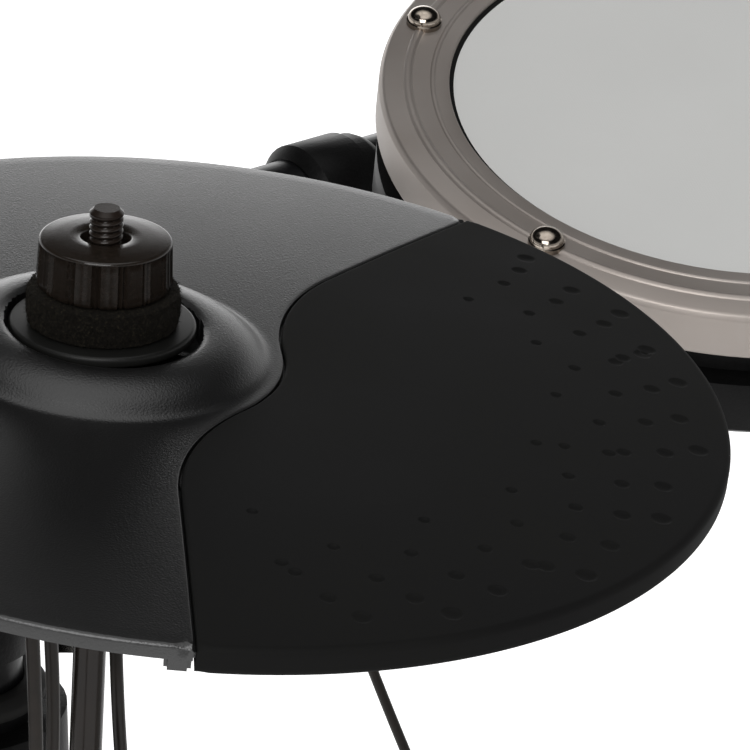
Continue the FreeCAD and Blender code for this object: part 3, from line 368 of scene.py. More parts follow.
# Cymbal pads: a bow moulded in black ABS with a pebbled grain, its bell off the disc's middle, and a rubber
# strike zone let into a pocket and lipped over the rim. A fine gap parts the plastic's round edge from it.
pad_radius = 0.1276
bell_offset = 0.0212
bell_radius = 0.0396
bell_sink = 0.0008
bell_blend = 0.0018
bell_foot = 0.0011
bell_margin = 0.004
bell_rings = 16
bell_steps = 150
mouth_radius = 0.0234
mouth_height = 0.0077
mouth_land = 0.0019
mouth_turn = 0.35
mouth_rings = (0.0, 0.0003, 0.0007, 0.0013)
bow_crown = 0.0015
bow_first = 3
bow_rings = 30
bow_spacing = 0.0045
edge_height = -0.0018
edge_thick = 0.0035
edge_band = 0.009
edge_round = 0.001
edge_fillet = 0.0005
edge_shares = (0.0, 0.04, 0.13, 0.29, 0.5, 0.74, 1.0)
rim_margin = 0.001
rim_rings = 5
rim_steps = 320
skin = 0.003
hub_radius = 0.008
hub_half = 0.0045
hub_bore = 0.0054
hub_steps = 48
floor_half = 0.0015
well_wall = 0.0024
zone_inner = 0.0434
zone_corner = 0.06
zone_half = math.radians(70)
zone_apex = 0.0158
zone_gap = 0.0006
zone_rise = 0.0003
zone_fillet = 0.0007
pocket_depth = 0.0022
line_spacing = 0.0016
line_margin = 0.0012
outer_margin = 0.0009
outer_spacing = 0.0022
fillet_shares = (0.0, 0.08, 0.2, 0.4, 0.7, 1.0, 1.6)
fillet_clear = 2.2
lip_wrap = 0.0014
lip_proud = 0.0007
lip_drop = 0.0064
lip_round = 0.0018
lip_rings = 6
rubber_spacing = 0.004
rubber_rings = range(5, 32)
lug_size = (0.0058, 0.0036, 0.0046)
lug_beyond = 0.6
lug_inset = 0.8
lug_sunk = 0.001
lug_round = 0.0008
dimples = 56
dimple_span = math.radians(124)
dimple_start = 0.072
dimple_reach = 0.049
dimple_least = 0.0013
dimple_most = 0.0025
dimple_depth = 0.00045
dimple_shares = (0.7549, 0.5698)
dimple_rings = ((0.3, 8), (0.55, 14), (0.75, 18), (0.88, 20), (0.97, 20), (1.06, 20), (1.16, 20))
dimple_clear = 1.3
step_width = 0.00002
plan_merge = 1e-9
pebble_size = 0.00045
pebble_soft = pebble_size / 0.8
pebble_depth = 0.00013
scuff_size = 0.05
hihat_lean = (0.1015, -0.0596, 1.0)
zone_turns = {"hihat": math.radians(-32.5), "crash": math.radians(-62), "ride": math.radians(-120)}
side_shift = zone_apex * math.sin(zone_half)
corner_radius = zone_inner + zone_corner
corner_angle = zone_half - math.asin((zone_corner + side_shift) / corner_radius)
side_start = corner_radius * math.cos(zone_half - corner_angle)


def from_middle(x, y):
    """The distance of a point of the plan from the disc's middle."""
    return math.hypot(x - bell_offset, y)


def bow_height(radius):
    """The height of the bow at a distance from the disc's middle."""
    run = radius / pad_radius
    return bell_foot + (edge_height - bell_foot) * run + 4 * bow_crown * run * (1 - run)


def zone_depth(x, y):
    """How far a point of the plan lies inside the strike zone's outline."""
    radius = math.hypot(x, y)
    off = zone_half - abs(math.atan2(y, x))
    along = radius * math.cos(off)
    side = (radius * math.sin(off) if abs(off) < math.pi / 2 else -radius) - side_shift
    if zone_half - off > corner_angle and along < side_start:
        reach = Vector((x, abs(y))) - Vector((math.cos(corner_angle), math.sin(corner_angle))) * corner_radius
        return zone_corner - reach.length
    return min(radius - zone_inner, side)


def zone_line(grow, far, spacing):
    """The zone's outline, grown by a margin, with points that face each other whatever the margin."""
    half = []
    inner = zone_inner - grow
    count = math.ceil(corner_angle * zone_inner / spacing)
    for step in range(count + 1):
        angle = corner_angle * step / count
        half.append((inner * math.cos(angle), inner * math.sin(angle)))
    arc = zone_corner + grow
    centre = (corner_radius * math.cos(corner_angle), corner_radius * math.sin(corner_angle))
    start = corner_angle + math.pi
    end = zone_half + math.pi / 2
    count = math.ceil((start - end) * zone_corner / spacing)
    for step in range(1, count + 1):
        angle = start + (end - start) * step / count
        half.append((centre[0] + arc * math.cos(angle), centre[1] + arc * math.sin(angle)))
    out = grow - side_shift
    miss = out + bell_offset * math.sin(zone_half)
    last = bell_offset * math.cos(zone_half) + math.sqrt(far ** 2 - miss ** 2)
    count = math.ceil((last - side_start) / spacing)
    for along in [side_start + spacing * step for step in range(1, count)] + [last]:
        half.append((along * math.cos(zone_half) - out * math.sin(zone_half),
                     along * math.sin(zone_half) + out * math.cos(zone_half)))
    return [(x, -y) for x, y in half[:0:-1]] + half


def ring(radius, count, middle=0.0):
    """Evenly spaced points on a circle of the plan."""
    return [(middle + radius * math.cos(math.tau * step / count), radius * math.sin(math.tau * step / count))
            for step in range(count)]


def slab(points, top, bottom, inside):
    """A closed shell over a plan of points, between a top and a bottom height."""
    plan, _, faces = delaunay_2d_cdt([Vector(point) for point in points], [], [], 0, plan_merge)[:3]
    solid = bmesh.new()
    upper = [solid.verts.new((p.x, p.y, top(p.x, p.y))) for p in plan]
    lower = [solid.verts.new((p.x, p.y, bottom(p.x, p.y))) for p in plan]
    for face in faces:
        middle = sum((plan[corner] for corner in face), Vector((0, 0))) / len(face)
        if inside(middle.x, middle.y):
            solid.faces.new([upper[corner] for corner in face])
            solid.faces.new([lower[corner] for corner in reversed(face)])
    partner = dict(zip(upper, lower))
    rim = [edge for edge in solid.edges if len(edge.link_faces) == 1 and edge.verts[0] in partner]
    for edge in rim:
        loop = edge.link_loops[0]
        start, end = loop.vert, loop.link_loop_next.vert
        solid.faces.new([end, start, partner[start], partner[end]])
    bmesh.ops.delete(solid, geom=[vert for vert in solid.verts if not vert.link_faces], context="VERTS")
    bmesh.ops.recalc_face_normals(solid, faces=solid.faces)
    return solid


def bow_solid():
    """The moulded bow about its pivot, with its zone's bearing along X."""
    crown = mouth_radius + mouth_land
    rise = mouth_height - bell_foot + bell_sink
    dome = ((bell_radius - crown) ** 2 + rise ** 2) / (2 * rise)
    rim = pad_radius - edge_round

    def plain_top(x, y):
        radius = math.hypot(x, y)
        if radius < hub_radius:
            return hub_half
        if radius < mouth_radius:
            return floor_half
        if radius < crown:
            lip = max(0.0, 1 - (radius - mouth_radius) / mouth_land) ** 2
            return mouth_height - mouth_turn * mouth_land * lip
        out = from_middle(x, y)
        fall = max(0.0, out - rim)
        plate = bow_height(out) - edge_round + math.sqrt(max(0.0, edge_round ** 2 - fall ** 2))
        if radius - crown >= dome:
            return plate
        bell = mouth_height - dome + math.sqrt(dome ** 2 - (radius - crown) ** 2)
        near = max(0.0, 1 - abs(bell - plate) / bell_blend)
        return max(bell, plate) + bell_blend * near ** 2 / 4

    def top(x, y):
        depth = zone_depth(x, y)
        if depth > -zone_gap:
            return bow_height(from_middle(x, y)) - pocket_depth
        short = max(0.0, 1 - (-depth - zone_gap) / edge_fillet)
        return plain_top(x, y) - edge_fillet * (1 - math.sqrt(1 - short ** 2))

    def bottom(x, y):
        radius = math.hypot(x, y)
        if radius < hub_radius:
            return -hub_half
        if radius < mouth_radius + well_wall:
            return -floor_half
        if radius < bell_radius:
            share = (radius - mouth_radius - well_wall) / (bell_radius - mouth_radius - well_wall)
            return -floor_half + (bell_foot - skin + floor_half) * share
        out = from_middle(x, y)
        return bow_height(out) - (edge_thick if out > pad_radius - edge_band else skin)

    def inside(x, y):
        lipped = from_middle(x, y) > pad_radius - lip_wrap and zone_depth(x, y) > -zone_gap
        return math.hypot(x, y) > hub_bore and not lipped

    points = []
    for radius in (hub_bore, hub_radius - step_width, hub_radius):
        points += ring(radius, hub_steps)
    foot = bell_radius + bell_margin
    band = zone_gap + edge_fillet + line_margin
    radii = [mouth_radius - step_width] + [mouth_radius + out for out in mouth_rings] + [crown]
    radii += [crown + (foot - crown) * step / bell_rings for step in range(1, bell_rings + 1)]
    for radius in radii:
        points += [p for p in ring(radius, bell_steps) if not -band < zone_depth(*p) < 0.0]
    radii = [rim * step / bow_rings for step in range(bow_first, bow_rings)]
    radii += [pad_radius - edge_band - step_width, pad_radius - edge_band + step_width]
    radii += [rim + edge_round * math.sin(math.pi / 2 * step / rim_rings) for step in range(rim_rings + 1)]
    for radius in radii:
        near_rim = radius > pad_radius - edge_band - rim_margin
        count = rim_steps if near_rim else round(math.tau * radius / bow_spacing)
        points += [p for p in ring(radius, count, bell_offset)
                   if math.hypot(*p) > foot + line_margin and not -band < zone_depth(*p) < 0.0]
    points += [p for p in ring(pad_radius - lip_wrap, rim_steps, bell_offset) if zone_depth(*p) > -zone_gap]
    for share in edge_shares:
        points += zone_line(zone_gap + edge_fillet * share, pad_radius, line_spacing)
    points += zone_line(zone_gap - step_width, pad_radius - lip_wrap, line_spacing)
    points += zone_line(zone_gap + edge_fillet + outer_margin, pad_radius, outer_spacing)
    return slab(points, top, bottom, inside)


def block_solid(size, place=None, edge=0.0):
    """A box about its middle, with its edges rounded, put at its place."""
    solid = bmesh.new()
    bmesh.ops.create_cube(solid, size=1.0, matrix=Matrix.Diagonal((*size, 1.0)))
    if edge:
        bmesh.ops.bevel(solid, geom=solid.edges[:], offset=edge, segments=bevel_steps, affect="EDGES")
    if place:
        bmesh.ops.transform(solid, matrix=place, verts=solid.verts)
    return solid


def lug_solids():
    """The two clip lugs under the rim, one beyond each end of the strike zone."""
    ends = zone_line(lug_size[0] * lug_beyond, pad_radius - lug_inset * lug_size[1], line_spacing)
    lugs = []
    for x, y in (ends[0], ends[-1]):
        spot = Matrix.Translation((x, y, edge_height - edge_thick - lug_size[2] / 2 + lug_sunk))
        turn = Matrix.Rotation(math.atan2(y, x - bell_offset) + math.pi / 2, 4, "Z")
        lugs.append(block_solid(lug_size, spot @ turn, lug_round))
    return lugs


def dimple_places():
    """The middle and the mouth of each dimple, spread by an even sequence and larger near the rim."""
    places = []
    for count in range(dimples):
        round_share, out_share = (count * share % 1 for share in dimple_shares)
        angle = (round_share - 0.5) * dimple_span
        out = dimple_start + dimple_reach * math.sqrt(out_share)
        mouth = dimple_least + (dimple_most - dimple_least) * out_share
        places.append((bell_offset + out * math.cos(angle), out * math.sin(angle), mouth))
    return places


def rubber_solid():
    """The strike zone's rubber about the pivot, with its rolled lip and its dimples."""
    edge = pad_radius + lip_proud
    roll = edge - lip_round
    ring_start = pad_radius - lip_wrap
    low = edge_height - lip_drop
    dents = dimple_places()

    def top(x, y):
        radius = from_middle(x, y)
        height = bow_height(min(radius, roll)) + zone_rise
        fall = max(0.0, radius - roll)
        height += math.sqrt(max(0.0, lip_round ** 2 - fall ** 2)) - lip_round
        short = max(0.0, zone_fillet - max(0.0, zone_depth(x, y)))
        height += math.sqrt(max(0.0, zone_fillet ** 2 - short ** 2)) - zone_fillet
        for dent_x, dent_y, mouth in dents:
            near = math.hypot(x - dent_x, y - dent_y) / mouth
            if near < 1:
                height -= dimple_depth * (1 - near ** 4)
        return height

    def bottom(x, y):
        radius = from_middle(x, y)
        if radius < ring_start:
            return bow_height(radius) - pocket_depth + step_width
        fall = max(0.0, radius - roll)
        return low + lip_round - math.sqrt(max(0.0, lip_round ** 2 - fall ** 2))

    def inside(x, y):
        return zone_depth(x, y) > -merge_gap

    points = []
    for share in fillet_shares:
        points += zone_line(-zone_fillet * share, edge, line_spacing)
    radii = [rubber_spacing * step for step in rubber_rings]
    radii += [ring_start - step_width, ring_start + step_width]
    radii += [roll + lip_round * math.sin(math.pi / 2 * step / lip_rings) for step in range(lip_rings + 1)]
    for radius in radii:
        count = rim_steps if radius > ring_start - rim_margin else round(math.tau * radius / rubber_spacing)
        for point in ring(radius, count, bell_offset):
            clear = all(math.hypot(point[0] - x, point[1] - y) > mouth * dimple_clear for x, y, mouth in dents)
            if zone_depth(*point) > zone_fillet * fillet_clear and clear:
                points.append(point)
    for x, y, mouth in dents:
        points.append((x, y))
        for share, count in dimple_rings:
            points += [(x + out, y + up) for out, up in ring(mouth * share, count)]
    return slab(points, top, bottom, inside)


def pebbled_abs():
    """Black ABS with a pebbled grain from its mould, a little worn to a sheen in places."""
    material, tree, shader, place = finish("pebbled_abs", Specular_IOR_Level=0.62)
    cells = add(tree, "ShaderNodeTexVoronoi", {"Vector": place, "Scale": 1 / pebble_size, "Randomness": 1.0},
                feature="SMOOTH_F1").outputs["Distance"]
    soft, scuff = (add(tree, "ShaderNodeTexNoise",
                       {"Vector": place, "Scale": 1 / size, "Detail": detail}).outputs[0]
                   for size, detail in ((pebble_soft, 3.0), (scuff_size, 6.0)))
    grain = add(tree, "ShaderNodeMath", {0: cells, 1: soft}, operation="ADD").outputs[0]
    surfaced(tree, shader, graded(tree, grain, [(0.55, "#0E0E0F"), (1.0, "#090909")]),
             graded(tree, scuff, [(0.3, 0.3), (0.75, 0.36)]), grain, 0.34, pebble_depth)
    return material


bow_abs = pebbled_abs()
# Smooth black natural rubber is very matt, with a faint bloom and wiped streaks.
zone_rubber = clouded("strike_rubber", (scuff_size, 7.0), [(0.35, "#111111"), (0.7, "#151514")],
                      [(0.3, 0.66), (0.75, 0.78)], 0.06, (fleck_size, 2.0), fine_bump,
                      Specular_IOR_Level=0.06)
base_abs = moulded_plastic("moulded_abs", "#0C0B0B", "#151413", 0.4, fleck_size, 0.15)
bow_mesh = meshed("bow", [bow_solid()] + lug_solids())
rubber_mesh = meshed("rubber", [rubber_solid()])
for name, turn in zone_turns.items():
    way = hihat_lean if name == "hihat" else joints[name + "_nut_turn"]["axis"]
    place = set_on(joints[name + "_rock"]["pos_m"], way, turn)
    for part, mesh, slot, material in (("bow", bow_mesh, "bow_plastic", bow_abs),
                                       ("rubber", rubber_mesh, "strike_rubber", zone_rubber)):
        copy = mesh.copy()
        copy.transform(place)
        shown(name + "_pad_" + part, copy, name + "_pad", slot, material, name + "_" + part)
    moulded(name + "_pad_base", name + "_base", small_round, name + "_pad", "base_plastic", base_abs)

# Knobs, felts and seats: on each rod a turned acetal seat disc with its sleeve, a wool felt washer and a
# moulded knob with wide lands between pairs of grooves, counterbored round the thread. The two steel booms
# end in a threaded tip that carries the same parts.
seat_radius = 0.022
seat_low = 0.0054
seat_thick = 0.0026
seat_round = 0.0009
seat_bore = 0.00405
disc_steps = 96
sleeve_radius = 0.009
sleeve_flange = 0.014
sleeve_flange_thick = 0.003
sleeve_length = 0.016
sleeve_round = 0.0008
felt_radius = 0.0183
felt_thick = 0.0087
felt_edge = 0.0016
felt_side = 0.0008
felt_bulge = 0.0005
felt_fuzz = 0.0003
felt_face = 0.6
felt_rings = 16
felt_steps = 256
nap_start = 0.8
nap_scale = 14
nap_fine = 3
knob_foot = 0.0001
knob_radius = 0.016
knob_side = 0.8
knob_taper = 0.0005
knob_height = 0.0126
knob_chamfer = ((0.0016, 0.0), (0.0004, 0.0006), (0.0, 0.0014))
knob_rings = 8
knob_round = 0.0007
knob_round_rings = 5
knob_crown = 0.0006
knob_crown_power = 1.5
knob_crown_shares = (0.85, 0.7, 0.55, 0.4, 0.25, 0.0)
knob_crest = 0.0008
knob_rim = 0.0013
knob_bore = 0.0057
knob_bore_depth = 0.003
knob_mouth = ((0.0003, 0.0002), (0.0, 0.0007))
knob_lands = 16
land_steps = 22
land_hollow = 0.00016
land_width = 0.0025
groove_depth = 0.0007
groove_width = 0.0007
groove_offset = 0.0006
groove_fade = 0.0005
fibre_length = 0.0014
fibre_width = 0.00006
fibre_lean = 1.2
fibre_turn = 6.28
fibre_least = 0.4
fibres = 6000
hair_size = 0.0006
hair_depth = 0.0005


def seat_solids():
    """The seat disc over a pad's hub and the flanged sleeve under it."""
    high = seat_low + seat_thick
    disc = turned(rounded([(seat_bore, seat_low), (seat_radius, seat_low, small_round),
                           (seat_radius, high, seat_round), (seat_bore, high)]), disc_steps)
    low = -seat_low
    shoulder = low - sleeve_flange_thick
    foot = low - sleeve_length
    sleeve = turned(rounded([(seat_bore, low), (sleeve_flange, low, sleeve_round),
                             (sleeve_flange, shoulder, sleeve_round), (sleeve_radius, shoulder, small_round),
                             (sleeve_radius, foot, sleeve_round), (seat_bore, foot)]))
    return [disc, sleeve]


def felt_solid():
    """A felt washer with soft edges, a bulged side and an uneven nap."""
    low = seat_low + seat_thick
    high = low + felt_thick
    face = [seat_bore, felt_radius * felt_face, felt_radius - felt_edge]
    side = [(felt_radius - felt_side, low + felt_thick * step / felt_rings) for step in range(1, felt_rings)]
    profile = [(reach, low) for reach in face] + side + [(reach, high) for reach in reversed(face)]

    def nap(radius, angle, height):
        if radius < felt_radius * nap_start:
            return radius
        spot = Vector((math.cos(angle), math.sin(angle), (height - low) / felt_radius)) * nap_scale
        bulge = felt_bulge * math.sin(math.pi * (height - low) / felt_thick)
        return radius + bulge + felt_fuzz * (noise.noise(spot) + noise.noise(spot * nap_fine))

    return turned(profile, felt_steps, nap)


def knob_solid():
    """The knob, with a pair of grooves and a narrow rib between each land and the next."""
    low = seat_low + seat_thick + felt_thick + knob_foot
    high = low + knob_height
    brim = high - knob_crown
    base = high - knob_bore_depth
    crest = knob_bore + knob_crest
    slope = knob_radius - knob_round - crest

    def lands(radius, angle, height):
        if radius < knob_radius * knob_side:
            return radius
        pitch = math.tau / knob_lands
        off = abs((angle + pitch / 2) % pitch - pitch / 2) * knob_radius
        cut = max(0.0, 1 - ((off - groove_offset) / (groove_width / 2)) ** 2)
        hollow = land_hollow * math.sin(math.pi * min(1.0, max(0.0, off - 2 * groove_offset) / land_width))
        share = (height - low) / knob_height
        fade = min(1.0, max(0.0, (high - knob_rim - height) / groove_fade))
        return radius - fade * (groove_depth * math.sqrt(cut) + hollow) - knob_taper * share

    profile = [(seat_bore, low)] + [(knob_radius - inset, low + rise) for inset, rise in knob_chamfer]
    profile += [(knob_radius, low + knob_height * step / knob_rings) for step in range(2, knob_rings - 1)]
    profile += [(knob_radius, high - knob_rim - groove_fade), (knob_radius, high - knob_rim)]
    for step in range(knob_round_rings + 1):
        turn = math.pi / 2 * step / knob_round_rings
        profile.append((knob_radius - knob_round * (1 - math.cos(turn)),
                        brim - knob_round * (1 - math.sin(turn))))
    profile += [(crest + slope * share, high - knob_crown * share ** knob_crown_power)
                for share in knob_crown_shares]
    profile += [(knob_bore + inset, high - drop) for inset, drop in knob_mouth]
    return turned(profile + [(knob_bore, base), (seat_bore, base)], knob_lands * land_steps, lands)


def sized_tree(name, inputs):
    """A Geometry Nodes tree with named inputs for its sizes, and the identifier of each."""
    tree = bpy.data.node_groups.new(name, "GeometryNodeTree")
    keys = {}
    for label, kind in {"Geometry": "Geometry", **inputs}.items():
        socket = tree.interface.new_socket(label, in_out="INPUT", socket_type="NodeSocket" + kind)
        keys[label] = socket.identifier
    tree.interface.new_socket("Geometry", in_out="OUTPUT", socket_type="NodeSocketGeometry")
    return tree, keys


def fibre_tree():
    """Short bent fibres set over the faces of a felt."""
    tree, keys = sized_tree("felt_fibres", {"Fibre length": "Float", "Fibre width": "Float",
                                            "Fibres per area": "Float", "Finish": "Material"})
    given = add(tree, "NodeGroupInput").outputs
    points = add(tree, "GeometryNodeDistributePointsOnFaces",
                 {"Mesh": given["Geometry"], "Density": given["Fibres per area"], "Seed": 7})
    cone = add(tree, "GeometryNodeMeshCone", {"Vertices": 3, "Radius Top": 0.0, "Depth": given["Fibre length"],
                                              "Radius Bottom": given["Fibre width"]}, fill_type="NONE")
    least, most = (-fibre_lean, -fibre_lean, 0.0), (fibre_lean, fibre_lean, fibre_turn)
    lean = add(tree, "FunctionNodeRandomValue", {0: least, 1: most, "Seed": 3}, data_type="FLOAT_VECTOR")
    turn = add(tree, "FunctionNodeEulerToRotation", {"Euler": lean.outputs[0]})
    bent = add(tree, "FunctionNodeRotateRotation", {"Rotation": points.outputs["Rotation"],
                                                    "Rotate By": turn.outputs[0]}, rotation_space="LOCAL")
    size = add(tree, "FunctionNodeRandomValue", {2: fibre_least, 3: 1.0, "Seed": 5})
    set_out = add(tree, "GeometryNodeInstanceOnPoints",
                  {"Points": points.outputs["Points"], "Instance": cone.outputs["Mesh"],
                   "Rotation": bent.outputs[0], "Scale": size.outputs[1]})
    real = add(tree, "GeometryNodeRealizeInstances", {"Geometry": set_out.outputs[0]})
    both = add(tree, "GeometryNodeJoinGeometry")
    tree.links.new(given["Geometry"], both.inputs[0])
    tree.links.new(real.outputs[0], both.inputs[0])
    named = add(tree, "GeometryNodeSetMaterial", {"Geometry": both.outputs[0], "Material": given["Finish"]})
    add(tree, "NodeGroupOutput", {"Geometry": named.outputs[0]})
    return tree, keys


def grown(mesh, group, sizes):
    """The mesh that a tree makes of a mesh, with the tree's inputs set by their identifiers."""
    tree, keys = group
    work = bpy.data.objects.new(mesh.name + "_work", mesh)
    bpy.context.collection.objects.link(work)
    growth = work.modifiers.new("growth", "NODES")
    growth.node_group = tree
    for label, value in sizes.items():
        growth[keys[label]] = value
    return baked(work)


def wool_felt():
    """Pressed wool felt, brown-black, with lighter fibres on its face and a soft sheen."""
    material, tree, shader, place = finish("wool_felt", Roughness=0.95, Specular_IOR_Level=0.1,
                                           Sheen_Weight=0.15, Sheen_Roughness=0.5,
                                           Sheen_Tint=linear("#4A443A"))
    hairs = add(tree, "ShaderNodeTexNoise", {"Vector": place, "Scale": 1 / hair_size, "Detail": 6.0,
                                             "Roughness": 0.7}).outputs[0]
    surfaced(tree, shader, graded(tree, hairs, [(0.35, "#060504"), (0.55, "#0F0D0A"), (0.7, "#2C281F")]),
             None, hairs, 0.7, hair_depth)
    return material


felt_wool = wool_felt()
# Turned black acetal is smooth and satin, with faint tool rings that blur its highlight.
acetal = clouded("turned_acetal", (rub_size, 4.0), [(0.3, "#0D0D0C"), (0.75, "#151514")],
                 [(0.3, 0.36), (0.75, 0.46)], 0.05, Specular_IOR_Level=0.17)
knob_nylon = moulded_plastic("knob_nylon", "#17130F", "#201A16", 0.18, fleck_size, 0.04, 0.32)
felt_nap = fibre_tree()
felt_area = math.tau * felt_radius * (felt_radius + felt_thick)
nap_sizes = {"Fibre length": fibre_length, "Fibre width": fibre_width, "Fibres per area": fibres / felt_area,
             "Finish": felt_wool}
for name in zone_turns:
    way = joints[name + "_nut_turn"]["axis"]
    arm = joints[name + "_nut_turn"]["parent"]
    place = set_on(joints[name + "_rock"]["pos_m"], way)
    felt = grown(meshed(name + "_felt", [felt_solid()], place), felt_nap, nap_sizes)
    seats = meshed(name + "_seats", seat_solids(), place)
    replaced = ("hihat_felt", "hihat_seats") if name == "hihat" else (name + "_washers", name + "_washers")
    shown(name + "_felt_washer", felt, arm, "felt", felt_wool, replaced[0])
    shown(name + "_seat_set", seats, arm, "seat_plastic" if name == "hihat" else "felt", acetal, replaced[1])
    shown(name + "_wing_knob", meshed(name + "_knob", [knob_solid()], place), name + "_nut", "knob_plastic",
          knob_nylon, name + "_knob")
    if name != "hihat":
        boom = softened(name + "_boom", small_round)
        trim = bmesh.new()
        trim.from_mesh(boom)
        bmesh.ops.bisect_plane(trim, geom=trim.verts[:] + trim.edges[:] + trim.faces[:],
                               plane_co=place.translation, plane_no=way, clear_outer=True)
        trim.to_mesh(boom)
        trim.free()
        shown(name + "_boom_arm", boom, arm, "tube_paint", tube_coat, name + "_boom")
        shown(name + "_threaded_tip", meshed(name + "_tip", [threaded_rod(hub_half)], place), arm, "tube_paint",
              dark_nickel, name + "_boom")
dressed("hihat_sensor", zinc)

# Drum pads: a two-ply mesh head pulled over the shell's edge by a stepped aluminium hoop in a champagne
# anodised finish, chrome tension bolts, and a moulded black shell. Steel arms carry them.
head_thick = 0.0006
head_collar = 0.0075
head_skirt = 0.007
head_rings = 12
head_steps = 128
fit_gap = 0.0001
gutter = 0.0015
# Sizes of the black ring in the gap round the head, which is painted shade for the gap's shadow line.
shade_ring_low = 0.0002
shade_ring_rise = 0.0004
shade_ring_high = 0.0006
shade_ring_round = 0.0003
lip_width = 0.0056
bead_spacing = 0.0084
bead_rise = 0.0013
thin_bead = (0.002, 0.0007)
broad_bead = (0.0034, 0.0012)
bead_steps = 10
brow_inset = 0.0012
brow_drop = 0.0004
brow_round = 0.0016
shoulder_drop = 0.0024
hoop_width = 0.025
hoop_rise = 0.0032
hoop_under = 0.0007
hoop_under_round = 0.0008
hoop_wall_height = 0.018
hoop_wall = 0.0025
hoop_wall_round = 0.0009
hoop_steps = 160
shell_depth = 0.048
bracket_half = 0.014
tension_bolts = 5
tension_inset = 0.0095
tension_phase = math.radians(144)
bolt_head = 0.006
bolt_ball = 0.00558
bolt_neck = 0.0012
bolt_height = 0.0046
bolt_shank = 0.003
bolt_length = 0.032
bolt_rings = 8
bolt_steps = 32
washer_sunk = 0.0012
washer_rise = 0.0006
washer_slope = 0.0009
head_radii = {"tom1": 0.093, "tom2": 0.093, "tom3": 0.093, "snare": 0.117}
pad_leans = {"tom1": (0.0065, -0.2613, 1.0), "tom2": (-0.0065, -0.2613, 1.0), "tom3": (-0.12, -0.17, 1.0),
             "snare": (0.0, -0.09, 1.0)}
weave_size = 0.0009
wave_unit = math.tau / 20
blast_grit = 0.0008
polish_size = 0.0015


def hoop_solid(head):
    """The hoop: inner lip, a thin bead, a broad bead and a turned-down wall."""
    inner = head + gutter
    lip = inner + lip_width
    outer = head + hoop_width
    inside = outer - hoop_wall
    low = hoop_rise - bead_rise
    foot = hoop_rise - hoop_wall_height
    beads = [(middle - width / 2 * math.cos(turn), low + rise * math.sin(turn))
             for middle, (width, rise) in ((lip, thin_bead), (lip + bead_spacing, broad_bead))
             for turn in (math.pi * step / bead_steps for step in range(1, bead_steps))]
    return turned(rounded([
        (inner, fit_gap), (inner, low, small_round), *beads, (outer - brow_inset, low - brow_drop, brow_round),
        (outer, low - shoulder_drop, mould_round), (outer, foot, hoop_wall_round),
        (inside, foot, hoop_wall_round), (inside, -hoop_under, hoop_under_round), (lip, -hoop_under),
        (lip, fit_gap)]), hoop_steps)


def painted_shade_ring_solid(head):
    """A black ring in the gap between the head and the hoop's lip: painted shade that stands for the shadow in
    that gap.
    """
    inner = head + gutter
    return turned(rounded([(head, -shade_ring_low), (head, shade_ring_rise, shade_ring_round), (inner, shade_ring_high),
                           (inner, -shade_ring_low)]), hoop_steps)


def bolt_solid(reach):
    """A tension bolt with a ball-shaped head on a small washer, at its reach from the pad's axis."""
    low = hoop_rise - bolt_length
    neck = hoop_rise + bolt_neck
    profile = [(0, low), (bolt_shank, low), (bolt_shank, hoop_rise - washer_sunk),
               (bolt_head, hoop_rise - washer_sunk), (bolt_head, hoop_rise + washer_rise),
               (bolt_ball, hoop_rise + washer_slope)]
    for step in range(bolt_rings):
        turn = math.pi / 2 * step / bolt_rings
        profile.append((bolt_ball * math.cos(turn), neck + (bolt_height - bolt_neck) * math.sin(turn)))
    bolt = turned(profile + [(0, hoop_rise + bolt_height)], bolt_steps)
    bmesh.ops.translate(bolt, vec=(reach, 0, 0), verts=bolt.verts)
    return bolt


def head_solid(head):
    """The mesh head with its collar turned down over the bearing edge."""
    edge = head + head_collar - fit_gap
    inside = edge - 2 * head_thick
    flat = [(head * step / head_rings, 0.0) for step in range(head_rings, -1, -1)]
    under = [(head * step / head_rings, -head_thick) for step in range(head_rings + 1)]
    return turned([(edge, -head_skirt), (edge, 0.0)] + flat + under
                  + [(inside, -head_thick), (inside, -head_skirt)], head_steps)


def copy_tree():
    """Copies of a small piece, turned about Z by even steps."""
    tree, keys = sized_tree("turned_copies", {"Copies": "Int", "First turn": "Float", "Step turn": "Float",
                                              "Finish": "Material"})
    given = add(tree, "NodeGroupInput").outputs
    spots = add(tree, "GeometryNodePoints", {"Count": given["Copies"]})
    index = add(tree, "GeometryNodeInputIndex")
    angle = add(tree, "ShaderNodeMath", {0: index.outputs[0], 1: given["Step turn"], 2: given["First turn"]},
                operation="MULTIPLY_ADD")
    euler = add(tree, "ShaderNodeCombineXYZ", {"Z": angle.outputs[0]})
    turn = add(tree, "FunctionNodeEulerToRotation", {"Euler": euler.outputs[0]})
    set_out = add(tree, "GeometryNodeInstanceOnPoints",
                  {"Points": spots.outputs[0], "Instance": given["Geometry"], "Rotation": turn.outputs[0]})
    real = add(tree, "GeometryNodeRealizeInstances", {"Geometry": set_out.outputs[0]})
    named = add(tree, "GeometryNodeSetMaterial", {"Geometry": real.outputs[0], "Material": given["Finish"]})
    add(tree, "NodeGroupOutput", {"Geometry": named.outputs[0]})
    return tree, keys


turned_copies = copy_tree()


def ringed(name, solids, place, copies, first, step, material):
    """Copies of a small piece as one mesh, set round the axis of a place."""
    mesh = grown(meshed(name, solids), turned_copies,
                 {"Copies": copies, "First turn": first, "Step turn": step, "Finish": material})
    mesh.transform(place)
    return mesh


